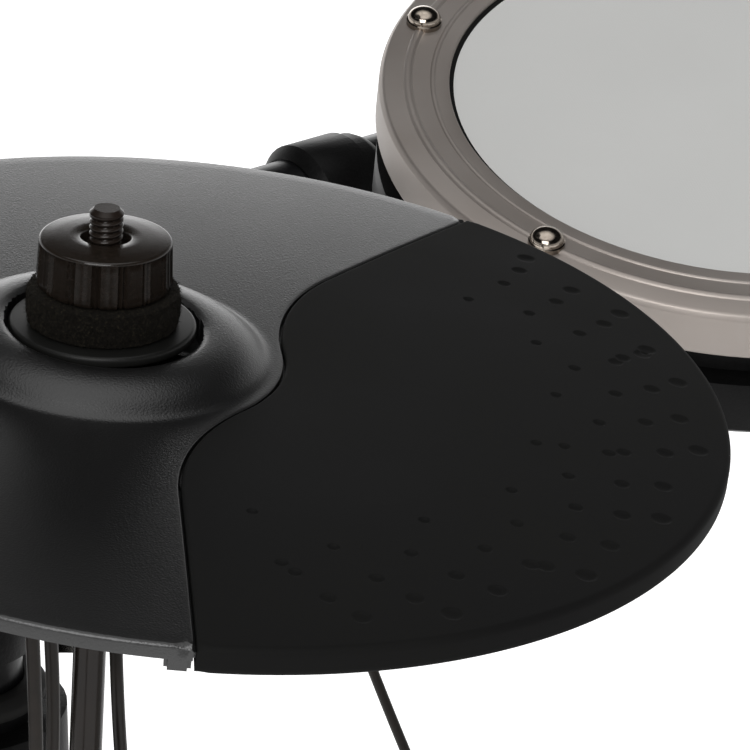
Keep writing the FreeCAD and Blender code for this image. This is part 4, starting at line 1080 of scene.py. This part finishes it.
def mesh_cloth():
    """Two-ply polyester mesh, pale grey: a fine square weave, drawn a little coarse so that it shows."""
    material, tree, shader, place = finish("mesh_head_cloth", Roughness=0.62, Specular_IOR_Level=0.3)
    rows = []
    for turn in (0.0, math.pi / 2):
        way = add(tree, "ShaderNodeMapping", {"Vector": place, "Rotation": (0.0, 0.0, turn)}).outputs[0]
        row = add(tree, "ShaderNodeTexWave", {"Vector": way, "Scale": wave_unit / weave_size})
        rows.append(row.outputs["Fac"])
    weave = add(tree, "ShaderNodeMath", {0: rows[0], 1: rows[1]}, operation="MULTIPLY").outputs[0]
    cloud = add(tree, "ShaderNodeTexNoise",
                {"Vector": place, "Scale": 1 / scuff_size, "Detail": 5.0}).outputs[0]
    tone = add(tree, "ShaderNodeMix", {"Factor": cloud, 6: linear("#C5C5C3"), 7: linear("#CBCBC9")},
               data_type="RGBA").outputs[2]
    surfaced(tree, shader, tone, None, weave, 0.12, fine_bump)
    return material


head_cloth = mesh_cloth()
# Bead-blasted aluminium, anodised champagne grey, is satin and warm with a fine grit. Chrome is bright, with
# hairline polishing marks; its base colour is darkened and warm, a painted reflection of the dim warm room
# round it.
hoop_metal = clouded("champagne_aluminium", (scuff_size, 4.0), [(0.3, "#958D87"), (0.7, "#A19A95")],
                     [(0.3, 0.42), (0.75, 0.5)], 0.08, (blast_grit, 2.0), fine_bump, Metallic=0.75)
chrome = clouded("chrome", (polish_size, 3.0), [(0.3, "#8F857B"), (0.7, "#A79D92")],
                 [(0.3, 0.08), (0.75, 0.18)], 0.04, depth=fine_bump, Metallic=1.0)
shell_abs = moulded_plastic("shell_abs", "#090909", "#101010", 0.4, fleck_size, 0.15)
for name, head in head_radii.items():
    body = name + "_pad"
    lean = Vector(pad_leans[name]).normalized()
    place = set_on(Vector(joints[name + "_tilt"]["pos_m"]) + lean * (shell_depth + bracket_half), lean)
    bolt = bolt_solid(head + hoop_width - tension_inset)
    bolts = ringed(name + "_bolts_turned", [bolt], place, tension_bolts, tension_phase,
                   math.tau / tension_bolts, chrome)
    bolt_slot, bolt_nodes = ("chrome", ["tom1_bolts"]) if name == "tom1" else ("hoop_metal", [])
    shown(name + "_pad_hoop", meshed(name + "_hoop_turned", [hoop_solid(head)], place), body, "hoop_metal",
          hoop_metal, name + "_hoop")
    shown(name + "_tension_bolts", bolts, body, bolt_slot, chrome, *bolt_nodes)
    # A black ring fills the gap round the head: painted shade for the shadow line between head and hoop.
    shown(name + "_head_painted_shade_ring", meshed(name + "_painted_shade_ring", [painted_shade_ring_solid(head)], place), body, "pad_rubber",
          zone_rubber)
    skin_piece = shown(name + "_mesh_head", meshed(name + "_head_skin", [head_solid(head)], place), body,
                       "mesh", head_cloth, name + "_head")
    moulded(name + "_pad_shell", name + "_shell", small_round, body, "shell_plastic", shell_abs)
dressed("tom1_sensor", zinc)
dressed("pad_arms", dark_nickel)

# Kick tower and its pedal: a welded steel frame on a floor plate, a moulded cup with a rubber strike face,
# and a cast aluminium pedal whose felt beater swings on a steel shaft.
cast_grain = 0.0012
cast_depth = 0.0002
shaft_angle = math.radians(40)
axle_bore = 0.0053
cam_radius = 0.02
cam_half = 0.015
shaft_root = 0.016
shaft_radius = 0.004
shaft_length = 0.148
collar_height = 0.012
beater_radius = 0.024
beater_half = 0.017
beater_round = 0.003
plate_radius = 0.009
plate_proud = 0.0002
plate_steps = 48

# Cast aluminium, tumbled to a satin grey, shows a fine sand texture.
cast_metal = clouded("cast_aluminium", (scuff_size, 6.0), [(0.3, "#7D7C7B"), (0.7, "#959493")],
                     [(0.3, 0.36), (0.75, 0.5)], 0.2, (cast_grain, 3.0), cast_depth, Metallic=1.0)
moulded("kick_tower_frame", "kick_frame", mould_round, "rack", "tube_paint", tube_coat)
moulded("kick_cup", "kick_housing", mould_round, "rack", "shell_plastic", shell_abs)
moulded("kick_strike_face", "kick_face", mould_round, "rack", "pad_rubber", zone_rubber)
moulded("kick_pedal_frame", "kick_pedal_base", mould_round, "rack", "pedal_metal", cast_metal)
moulded("kick_foot_plate", "kick_footboard", small_round, "kick_board", "pedal_metal", cast_metal)
axle = Vector(joints["beater_swing"]["pos_m"])
shaft_way = Vector((0, -math.sin(shaft_angle), math.cos(shaft_angle)))
strike_way = (0, math.cos(shaft_angle), math.sin(shaft_angle))
head_place = set_on(axle + shaft_way * shaft_length, strike_way)
cam = turned(rounded([(axle_bore, -cam_half), (cam_radius, -cam_half, mould_round),
                      (cam_radius, cam_half, mould_round), (axle_bore, cam_half)]))
shaft = turned([(0, shaft_root), (shaft_radius, shaft_root), (shaft_radius, shaft_length), (0, shaft_length)])
collar_top = cam_radius + collar_height
collar = turned(rounded([(shaft_radius, cam_radius), (2 * shaft_radius, cam_radius, small_round),
                         (2 * shaft_radius, collar_top, small_round), (shaft_radius, collar_top)]))
puck = turned(rounded([(0, -beater_half), (beater_radius, -beater_half, beater_round), (beater_radius, 0),
                       (beater_radius, beater_half, beater_round), (0, beater_half)]), disc_steps)
plate_low = -beater_half - plate_proud
plate_high = small_round - beater_half
plate = turned([(0, plate_low), (plate_radius, plate_low), (plate_radius, plate_high), (0, plate_high)],
               plate_steps)
for name, solids, place, slot, material in (
        ("kick_beater_cam", [cam], set_on(axle, (1, 0, 0)), "pedal_metal", cast_metal),
        ("kick_beater_shaft", [shaft, collar], set_on(axle, shaft_way), "chrome", chrome),
        ("kick_beater_head", [puck], head_place, "beater_felt", felt_wool),
        ("kick_beater_plate", [plate], head_place, "chrome", chrome)):
    shown(name, meshed(name + "_turned", solids, place), "beater", slot, material, "kick_beater")

# Foot controller: a base moulded in black ABS, with its sensor tower, and a ribbed footboard of the same
# plastic that turns on a heel pin.
moulded("controller_base", "control_base", mould_round, "rack", "shell_plastic", shell_abs)
moulded("controller_board", "control_board", small_round, "control_pedal", "shell_plastic", shell_abs)

# Sound module: a moulded case with a satin panel, a glass screen that shows level bars, a knurled dial, a
# volume knob in a ring of plain marks, two keys and four panel screws. The plugs of the leads stand in their
# sockets.
module_spot = (-0.69, -0.56, 0.905)
module_turn = math.radians(20)
module_lean = math.radians(32)
module_place = (Matrix.Translation(module_spot) @ Matrix.Rotation(module_turn, 4, "Z")
                @ Matrix.Rotation(module_lean, 4, "X"))
screen_spot = (-0.0492, 0.027, 0.0)
screen_size = (0.066, 0.034, 0.0012)
glow_size = 0.004
dial_spot = (0.05535, 0.0, 0.0)
dial_radius = 0.017
dial_height = 0.013
dial_flutes = 48
volume_spot = (-0.0738, -0.033, 0.0)
volume_radius = 0.009
volume_height = 0.014
volume_flutes = 18
grip_low = 0.0004
grip_foot = 0.001
grip_side_cut = 0.0026
grip_rings = 6
grip_brow = ((0.0009, 0.0007), (0.0018, 0.0))
grip_dish = ((0.6, 0.0002), (0.0, 0.0003))
flute_depth = 0.0004
flute_edge = 0.0007
flute_steps = 8
spindle_radius = 0.003
spindle_length = 0.012
pointer_width = 0.0012
pointer_thick = 0.0003
pointer_length = 0.5
pointer_middle = 0.55
key_spots = {"a": (-0.0246, -0.033, 0.0), "b": (0.0041, -0.033, 0.0)}
key_radius = 0.0065
key_low = -0.0018
key_top = 0.0024
key_round = 0.0008
key_dish = ((0.75, 0.0001), (0.0, 0.0005))
key_steps = 48
scale_ticks = 11
tick_size = (0.0005, 0.002, 0.0002)
tick_gap = 0.0032
tick_start = math.radians(135)
tick_sweep = math.radians(270)
level_bars = 9
bar_least = 0.25
bar_swing = 0.55
bar_rate = 1.7
bar_phase = 0.6
bar_width = 0.6
bar_thick = 0.0001
bars_width = 0.86
bars_foot = 0.42
screw_radius = 0.0024
screw_sunk = 0.0004
screw_side = 0.0009
screw_top = 0.0011
screw_steps = 24
screw_spread = (0.091, 0.0635)


def grip_solid(radius, height, flutes):
    """A control knob about its spindle, with a fluted side and a slightly dished top."""
    def flute(reach, angle, _):
        cut = flute_depth * math.cos(flutes * angle / 2) ** 2
        return reach - cut if reach > radius - flute_edge else reach

    high = grip_low + height
    root = grip_low - spindle_length
    profile = [(0, root), (spindle_radius, root), (spindle_radius, grip_low), (radius - grip_foot, grip_low)]
    profile += [(radius - flute_depth * share, grip_low + grip_foot + (height - grip_side_cut) * share)
                for share in (step / grip_rings for step in range(grip_rings + 1))]
    profile += [(radius - inset, high - drop) for inset, drop in grip_brow]
    profile += [(radius * share, high - drop) for share, drop in grip_dish]
    return turned(profile, flutes * flute_steps, flute)


def lit_display():
    """Pale blue segments behind glass, a little uneven in their glow."""
    material, tree, shader, place = finish("display_segments", Roughness=0.4, Emission_Strength=0.55)
    drift = add(tree, "ShaderNodeTexNoise",
                {"Vector": place, "Scale": 1 / glow_size, "Detail": 2.0}).outputs[0]
    tone = graded(tree, drift, [(0.3, "#5FA9BE"), (0.7, "#86CADA")])
    tree.links.new(tone, shader.inputs["Emission Color"])
    surfaced(tree, shader, tone)
    return material


panel_abs = moulded_plastic("panel_abs", "#18181A", "#202022", 0.36, fleck_size, 0.1)
mark_ink = moulded_plastic("pale_mark_ink", "#B4B6B4", "#C2C4C2", 0.5, fleck_size, 0.02)
moulded("module_shell", "module_case", mould_round, "rack", "module_plastic", base_abs)
moulded("module_face", "module_panel", small_round, "rack", "panel_plastic", panel_abs)
moulded("module_display", "module_screen", small_round, "rack", "screen_glass", acetal)
for name, spot, radius, height, flutes, node, body in (
        ("module_main_dial", dial_spot, dial_radius, dial_height, dial_flutes, "module_dial", "dial"),
        ("module_volume_knob", volume_spot, volume_radius, volume_height, volume_flutes, "module_volume",
         "volume")):
    place = module_place @ Matrix.Translation(spot)
    shown(name, meshed(name + "_turned", [grip_solid(radius, height, flutes)], place), body, "control_plastic",
          knob_nylon, node)
    mark = block_solid((pointer_width, radius * pointer_length, pointer_thick),
                       Matrix.Translation((0, radius * pointer_middle, grip_low + height)))
    shown(name + "_mark", meshed(name + "_mark_block", [mark], place), body, "control_plastic", mark_ink)
for letter, spot in key_spots.items():
    key = turned(rounded([(0, key_low), (key_radius, key_low), (key_radius, key_top, key_round)]
                         + [(key_radius * share, key_top - drop) for share, drop in key_dish]), key_steps)
    place = module_place @ Matrix.Translation(spot)
    shown("module_button_" + letter, meshed("module_key_" + letter + "_turned", [key], place), "key_" + letter,
          "control_plastic", knob_nylon, "module_key_" + letter)
tick = block_solid(tick_size, Matrix.Translation((0, volume_radius + tick_gap, 0)))
ticks = ringed("scale_ticks", [tick], module_place @ Matrix.Translation(volume_spot), scale_ticks, tick_start,
               -tick_sweep / (scale_ticks - 1), mark_ink)
shown("module_scale_marks", ticks, "rack", "panel_plastic", mark_ink)
bars = []
for count in range(level_bars):
    rise = screen_size[1] * (bar_least + bar_swing * abs(math.sin(bar_rate * count + bar_phase)))
    middle = (screen_spot[0] + screen_size[0] * ((count + 0.5) / level_bars - 0.5) * bars_width,
              screen_spot[1] - screen_size[1] * bars_foot + rise / 2, screen_size[2])
    bars.append(block_solid((screen_size[0] / level_bars * bar_width, rise, bar_thick),
                            Matrix.Translation(middle)))
shown("module_level_bars", meshed("level_bars", bars, module_place), "rack", "screen_glass", lit_display())
screws = []
for end in (1, -1):
    screw = turned(rounded([(0, -screw_sunk), (screw_radius, -screw_sunk),
                            (screw_radius, screw_side, small_round), (0, screw_top)]), screw_steps)
    bmesh.ops.translate(screw, vec=(screw_spread[0], end * screw_spread[1], 0), verts=screw.verts)
    screws.append(screw)
shown("module_panel_screws", ringed("panel_screws", screws, module_place, 2, 0.0, math.pi, zinc), "rack",
      "bolt_steel", zinc)
moulded("plug_set", "cable_plugs", small_round, "rack", "base_plastic", base_abs)

# Cords: limp jacketed pad leads. Two hang from the featured cymbal pad and turn up into the module, one runs
# down to the foot controller, and one crosses from a drum pad to the module.
cord_diameter = 0.0034
jacket_drag = 0.004
cord_steps = 8
cord_sides = 4
cord_routes = {
    "hihat_cord_a": (
        (-0.50826, -0.63049, 0.9359), (-0.508, -0.6355, 0.905), (-0.511, -0.635, 0.866),
        (-0.516, -0.632, 0.828), (-0.526, -0.623, 0.794), (-0.538, -0.605, 0.771), (-0.547, -0.579, 0.764),
        (-0.551, -0.552, 0.773), (-0.550, -0.529, 0.795), (-0.546, -0.518, 0.825), (-0.544, -0.519, 0.853),
        (-0.552, -0.5265, 0.8675), (-0.57136, -0.53363, 0.86801)),
    "hihat_cord_b": (
        (-0.51441, -0.63961, 0.93598), (-0.515, -0.6455, 0.900), (-0.518, -0.647, 0.856),
        (-0.523, -0.646, 0.814), (-0.533, -0.638, 0.779), (-0.546, -0.618, 0.754), (-0.557, -0.588, 0.744),
        (-0.563, -0.556, 0.750), (-0.563, -0.526, 0.774), (-0.558, -0.507, 0.808), (-0.551, -0.501, 0.844),
        (-0.551, -0.503, 0.871), (-0.560, -0.5095, 0.880), (-0.57775, -0.5161, 0.87967)),
    "control_cord": (
        (-0.58413, -0.49857, 0.89132), (-0.562, -0.4905, 0.893), (-0.535, -0.484, 0.902),
        (-0.508, -0.487, 0.912), (-0.485, -0.504, 0.922), (-0.474, -0.530, 0.927), (-0.474, -0.557, 0.922),
        (-0.479, -0.580, 0.905), (-0.482, -0.591, 0.877), (-0.480, -0.587, 0.846), (-0.474, -0.581, 0.808),
        (-0.467, -0.577, 0.766), (-0.461, -0.5735, 0.720), (-0.457, -0.571, 0.672), (-0.454, -0.569, 0.622),
        (-0.452, -0.566, 0.572), (-0.450, -0.562, 0.522), (-0.4485, -0.557, 0.472), (-0.447, -0.551, 0.422),
        (-0.445, -0.545, 0.372), (-0.442, -0.538, 0.322), (-0.438, -0.531, 0.272), (-0.433, -0.524, 0.222),
        (-0.427, -0.517, 0.172), (-0.419, -0.510, 0.124), (-0.408, -0.502, 0.080), (-0.393, -0.493, 0.044),
        (-0.371, -0.483, 0.020), (-0.348, -0.480, 0.011), (-0.333, -0.491, 0.014), (-0.330, -0.512, 0.018),
        (-0.330, -0.532, 0.0185)),
    "tom_cord": (
        (-0.1093, -0.22184, 0.79673), (-0.1115, -0.2119, 0.7578), (-0.1175, -0.214, 0.712),
        (-0.1335, -0.234, 0.668), (-0.158, -0.264, 0.630), (-0.188, -0.295, 0.606), (-0.222, -0.322, 0.595),
        (-0.258, -0.340, 0.603), (-0.290, -0.348, 0.628), (-0.312, -0.346, 0.668), (-0.325, -0.336, 0.706),
        (-0.336, -0.326, 0.742), (-0.352, -0.328, 0.780), (-0.376, -0.346, 0.812), (-0.406, -0.370, 0.840),
        (-0.438, -0.396, 0.864), (-0.472, -0.421, 0.884), (-0.508, -0.444, 0.897), (-0.542, -0.461, 0.904),
        (-0.568, -0.473, 0.9045), (-0.59051, -0.48104, 0.90298))}
# Extruded PVC jacket: brown-black and satin, with a slight drag along its length.
jacket = clouded("cord_jacket", (jacket_drag, 3.0), [(0.3, "#1A1613"), (0.7, "#231E1A")],
                 [(0.3, 0.34), (0.75, 0.44)], 0.06, Specular_IOR_Level=0.2)
for name, route in cord_routes.items():
    curve = bpy.data.curves.new(name + "_line", "CURVE")
    curve.dimensions = "3D"
    spline = curve.splines.new("NURBS")
    spline.points.add(len(route) - 1)
    for point, spot in zip(spline.points, route):
        point.co = (*spot, 1.0)
    spline.order_u = 3
    spline.use_endpoint_u = True
    spline.resolution_u = cord_steps
    curve.bevel_depth = cord_diameter / 2
    curve.bevel_resolution = cord_sides
    curve.use_fill_caps = True
    curve.materials.append(jacket)
    cord = bpy.data.objects.new(name + "_lead", curve)
    bpy.context.collection.objects.link(cord)
    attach(cord, "rack")
    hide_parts(name)

# Studio: a pale floor, a bright low backdrop that fades to a dim room with a lit ceiling patch, one soft front
# lamp, and the camera, which sees the backdrop as white.
camera_place = (-0.7248, -1.5452, 1.4087)
camera_way = (0.2814, 0.8661, -0.4131)
camera_lens = 216.0
camera_sensor = 36.0
camera_far = 60.0
floor_reach = 14.0
floor_glow = 0.8
backdrop_way = (0.1564, 0.9877, 0.0)
room_strength = 2.8
lamp_place = (-1.6, -2.9, 3.0)
lamp_aim = (-0.2, -0.4, 0.8)
lamp_size = 2.2
lamp_power = 92.0
white = (1.0, 1.0, 1.0, 1.0)


def studio_floor():
    """A pale floor that shows white to the camera and still takes the object's shadow."""
    material, tree, shader, _ = finish("studio_floor", Base_Color=linear("#F2F2F2"), Roughness=0.9,
                                       Specular_IOR_Level=0.0, Emission_Color=white)
    ray = add(tree, "ShaderNodeLightPath").outputs
    seen = ray["Is Camera Ray"]
    for other in ("Is Glossy Ray", "Is Transmission Ray"):
        seen = add(tree, "ShaderNodeMath", {0: seen, 1: ray[other]}, operation="MAXIMUM").outputs[0]
    glow = add(tree, "ShaderNodeMath", {0: seen, 1: floor_glow}, operation="MULTIPLY")
    tree.links.new(glow.outputs[0], shader.inputs["Emission Strength"])
    return material

floor_mesh = bpy.data.meshes.new("floor")
floor_mesh.from_pydata([(-floor_reach, -floor_reach, 0), (floor_reach, -floor_reach, 0),
                        (floor_reach, floor_reach, 0), (-floor_reach, floor_reach, 0)], [], [(0, 1, 2, 3)])
floor_mesh.materials.append(studio_floor())
floor = bpy.data.objects.new("floor", floor_mesh)
bpy.context.collection.objects.link(floor)

world = bpy.data.worlds.new("studio")
bpy.context.scene.world = world
world.use_nodes = True
sky = world.node_tree
sky.nodes.clear()
way = add(sky, "ShaderNodeTexCoord").outputs["Generated"]
upward = add(sky, "ShaderNodeSeparateXYZ", {0: way}).outputs["Z"]
behind = add(sky, "ShaderNodeVectorMath", {0: way, 1: backdrop_way}, operation="DOT_PRODUCT").outputs["Value"]
band = graded(sky, upward, [(0.0, 1.0), (0.26, 1.0), (0.33, 0.43), (0.39, 0.2), (0.41, 0.02), (1.0, 0.02)])
side = graded(sky, behind, [(0.0, 0.22), (0.6, 0.24), (0.9, 0.4), (0.98, 1.0)])
roof = graded(sky, upward, [(0.8, 0.0), (0.94, 0.52)])
light = add(sky, "ShaderNodeMath", {0: band, 1: side, 2: roof}, operation="MULTIPLY_ADD").outputs[0]
room = add(sky, "ShaderNodeBackground", {"Color": light, "Strength": room_strength}).outputs[0]
paper = add(sky, "ShaderNodeBackground", {"Color": white, "Strength": 1.0}).outputs[0]
seen = add(sky, "ShaderNodeLightPath").outputs["Is Camera Ray"]
shown_sky = add(sky, "ShaderNodeMixShader", {0: seen, 1: room, 2: paper}).outputs[0]
add(sky, "ShaderNodeOutputWorld", {"Surface": shown_sky})

lamp = bpy.data.lights.new("front_lamp", "AREA")
lamp.size = lamp_size
lamp.energy = lamp_power
softbox = bpy.data.objects.new("front_lamp", lamp)
softbox.location = lamp_place
softbox.rotation_euler = (Vector(lamp_aim) - Vector(lamp_place)).to_track_quat("-Z", "Y").to_euler()
softbox.visible_camera = False
bpy.context.collection.objects.link(softbox)

lens = bpy.data.cameras.new("camera")
lens.lens = camera_lens
lens.sensor_width = camera_sensor
lens.clip_end = camera_far
camera = bpy.data.objects.new("camera", lens)
camera.location = camera_place
camera.rotation_euler = Vector(camera_way).to_track_quat("-Z", "Y").to_euler()
bpy.context.collection.objects.link(camera)
bpy.context.scene.camera = camera
bpy.context.scene.view_settings.view_transform = "Standard"
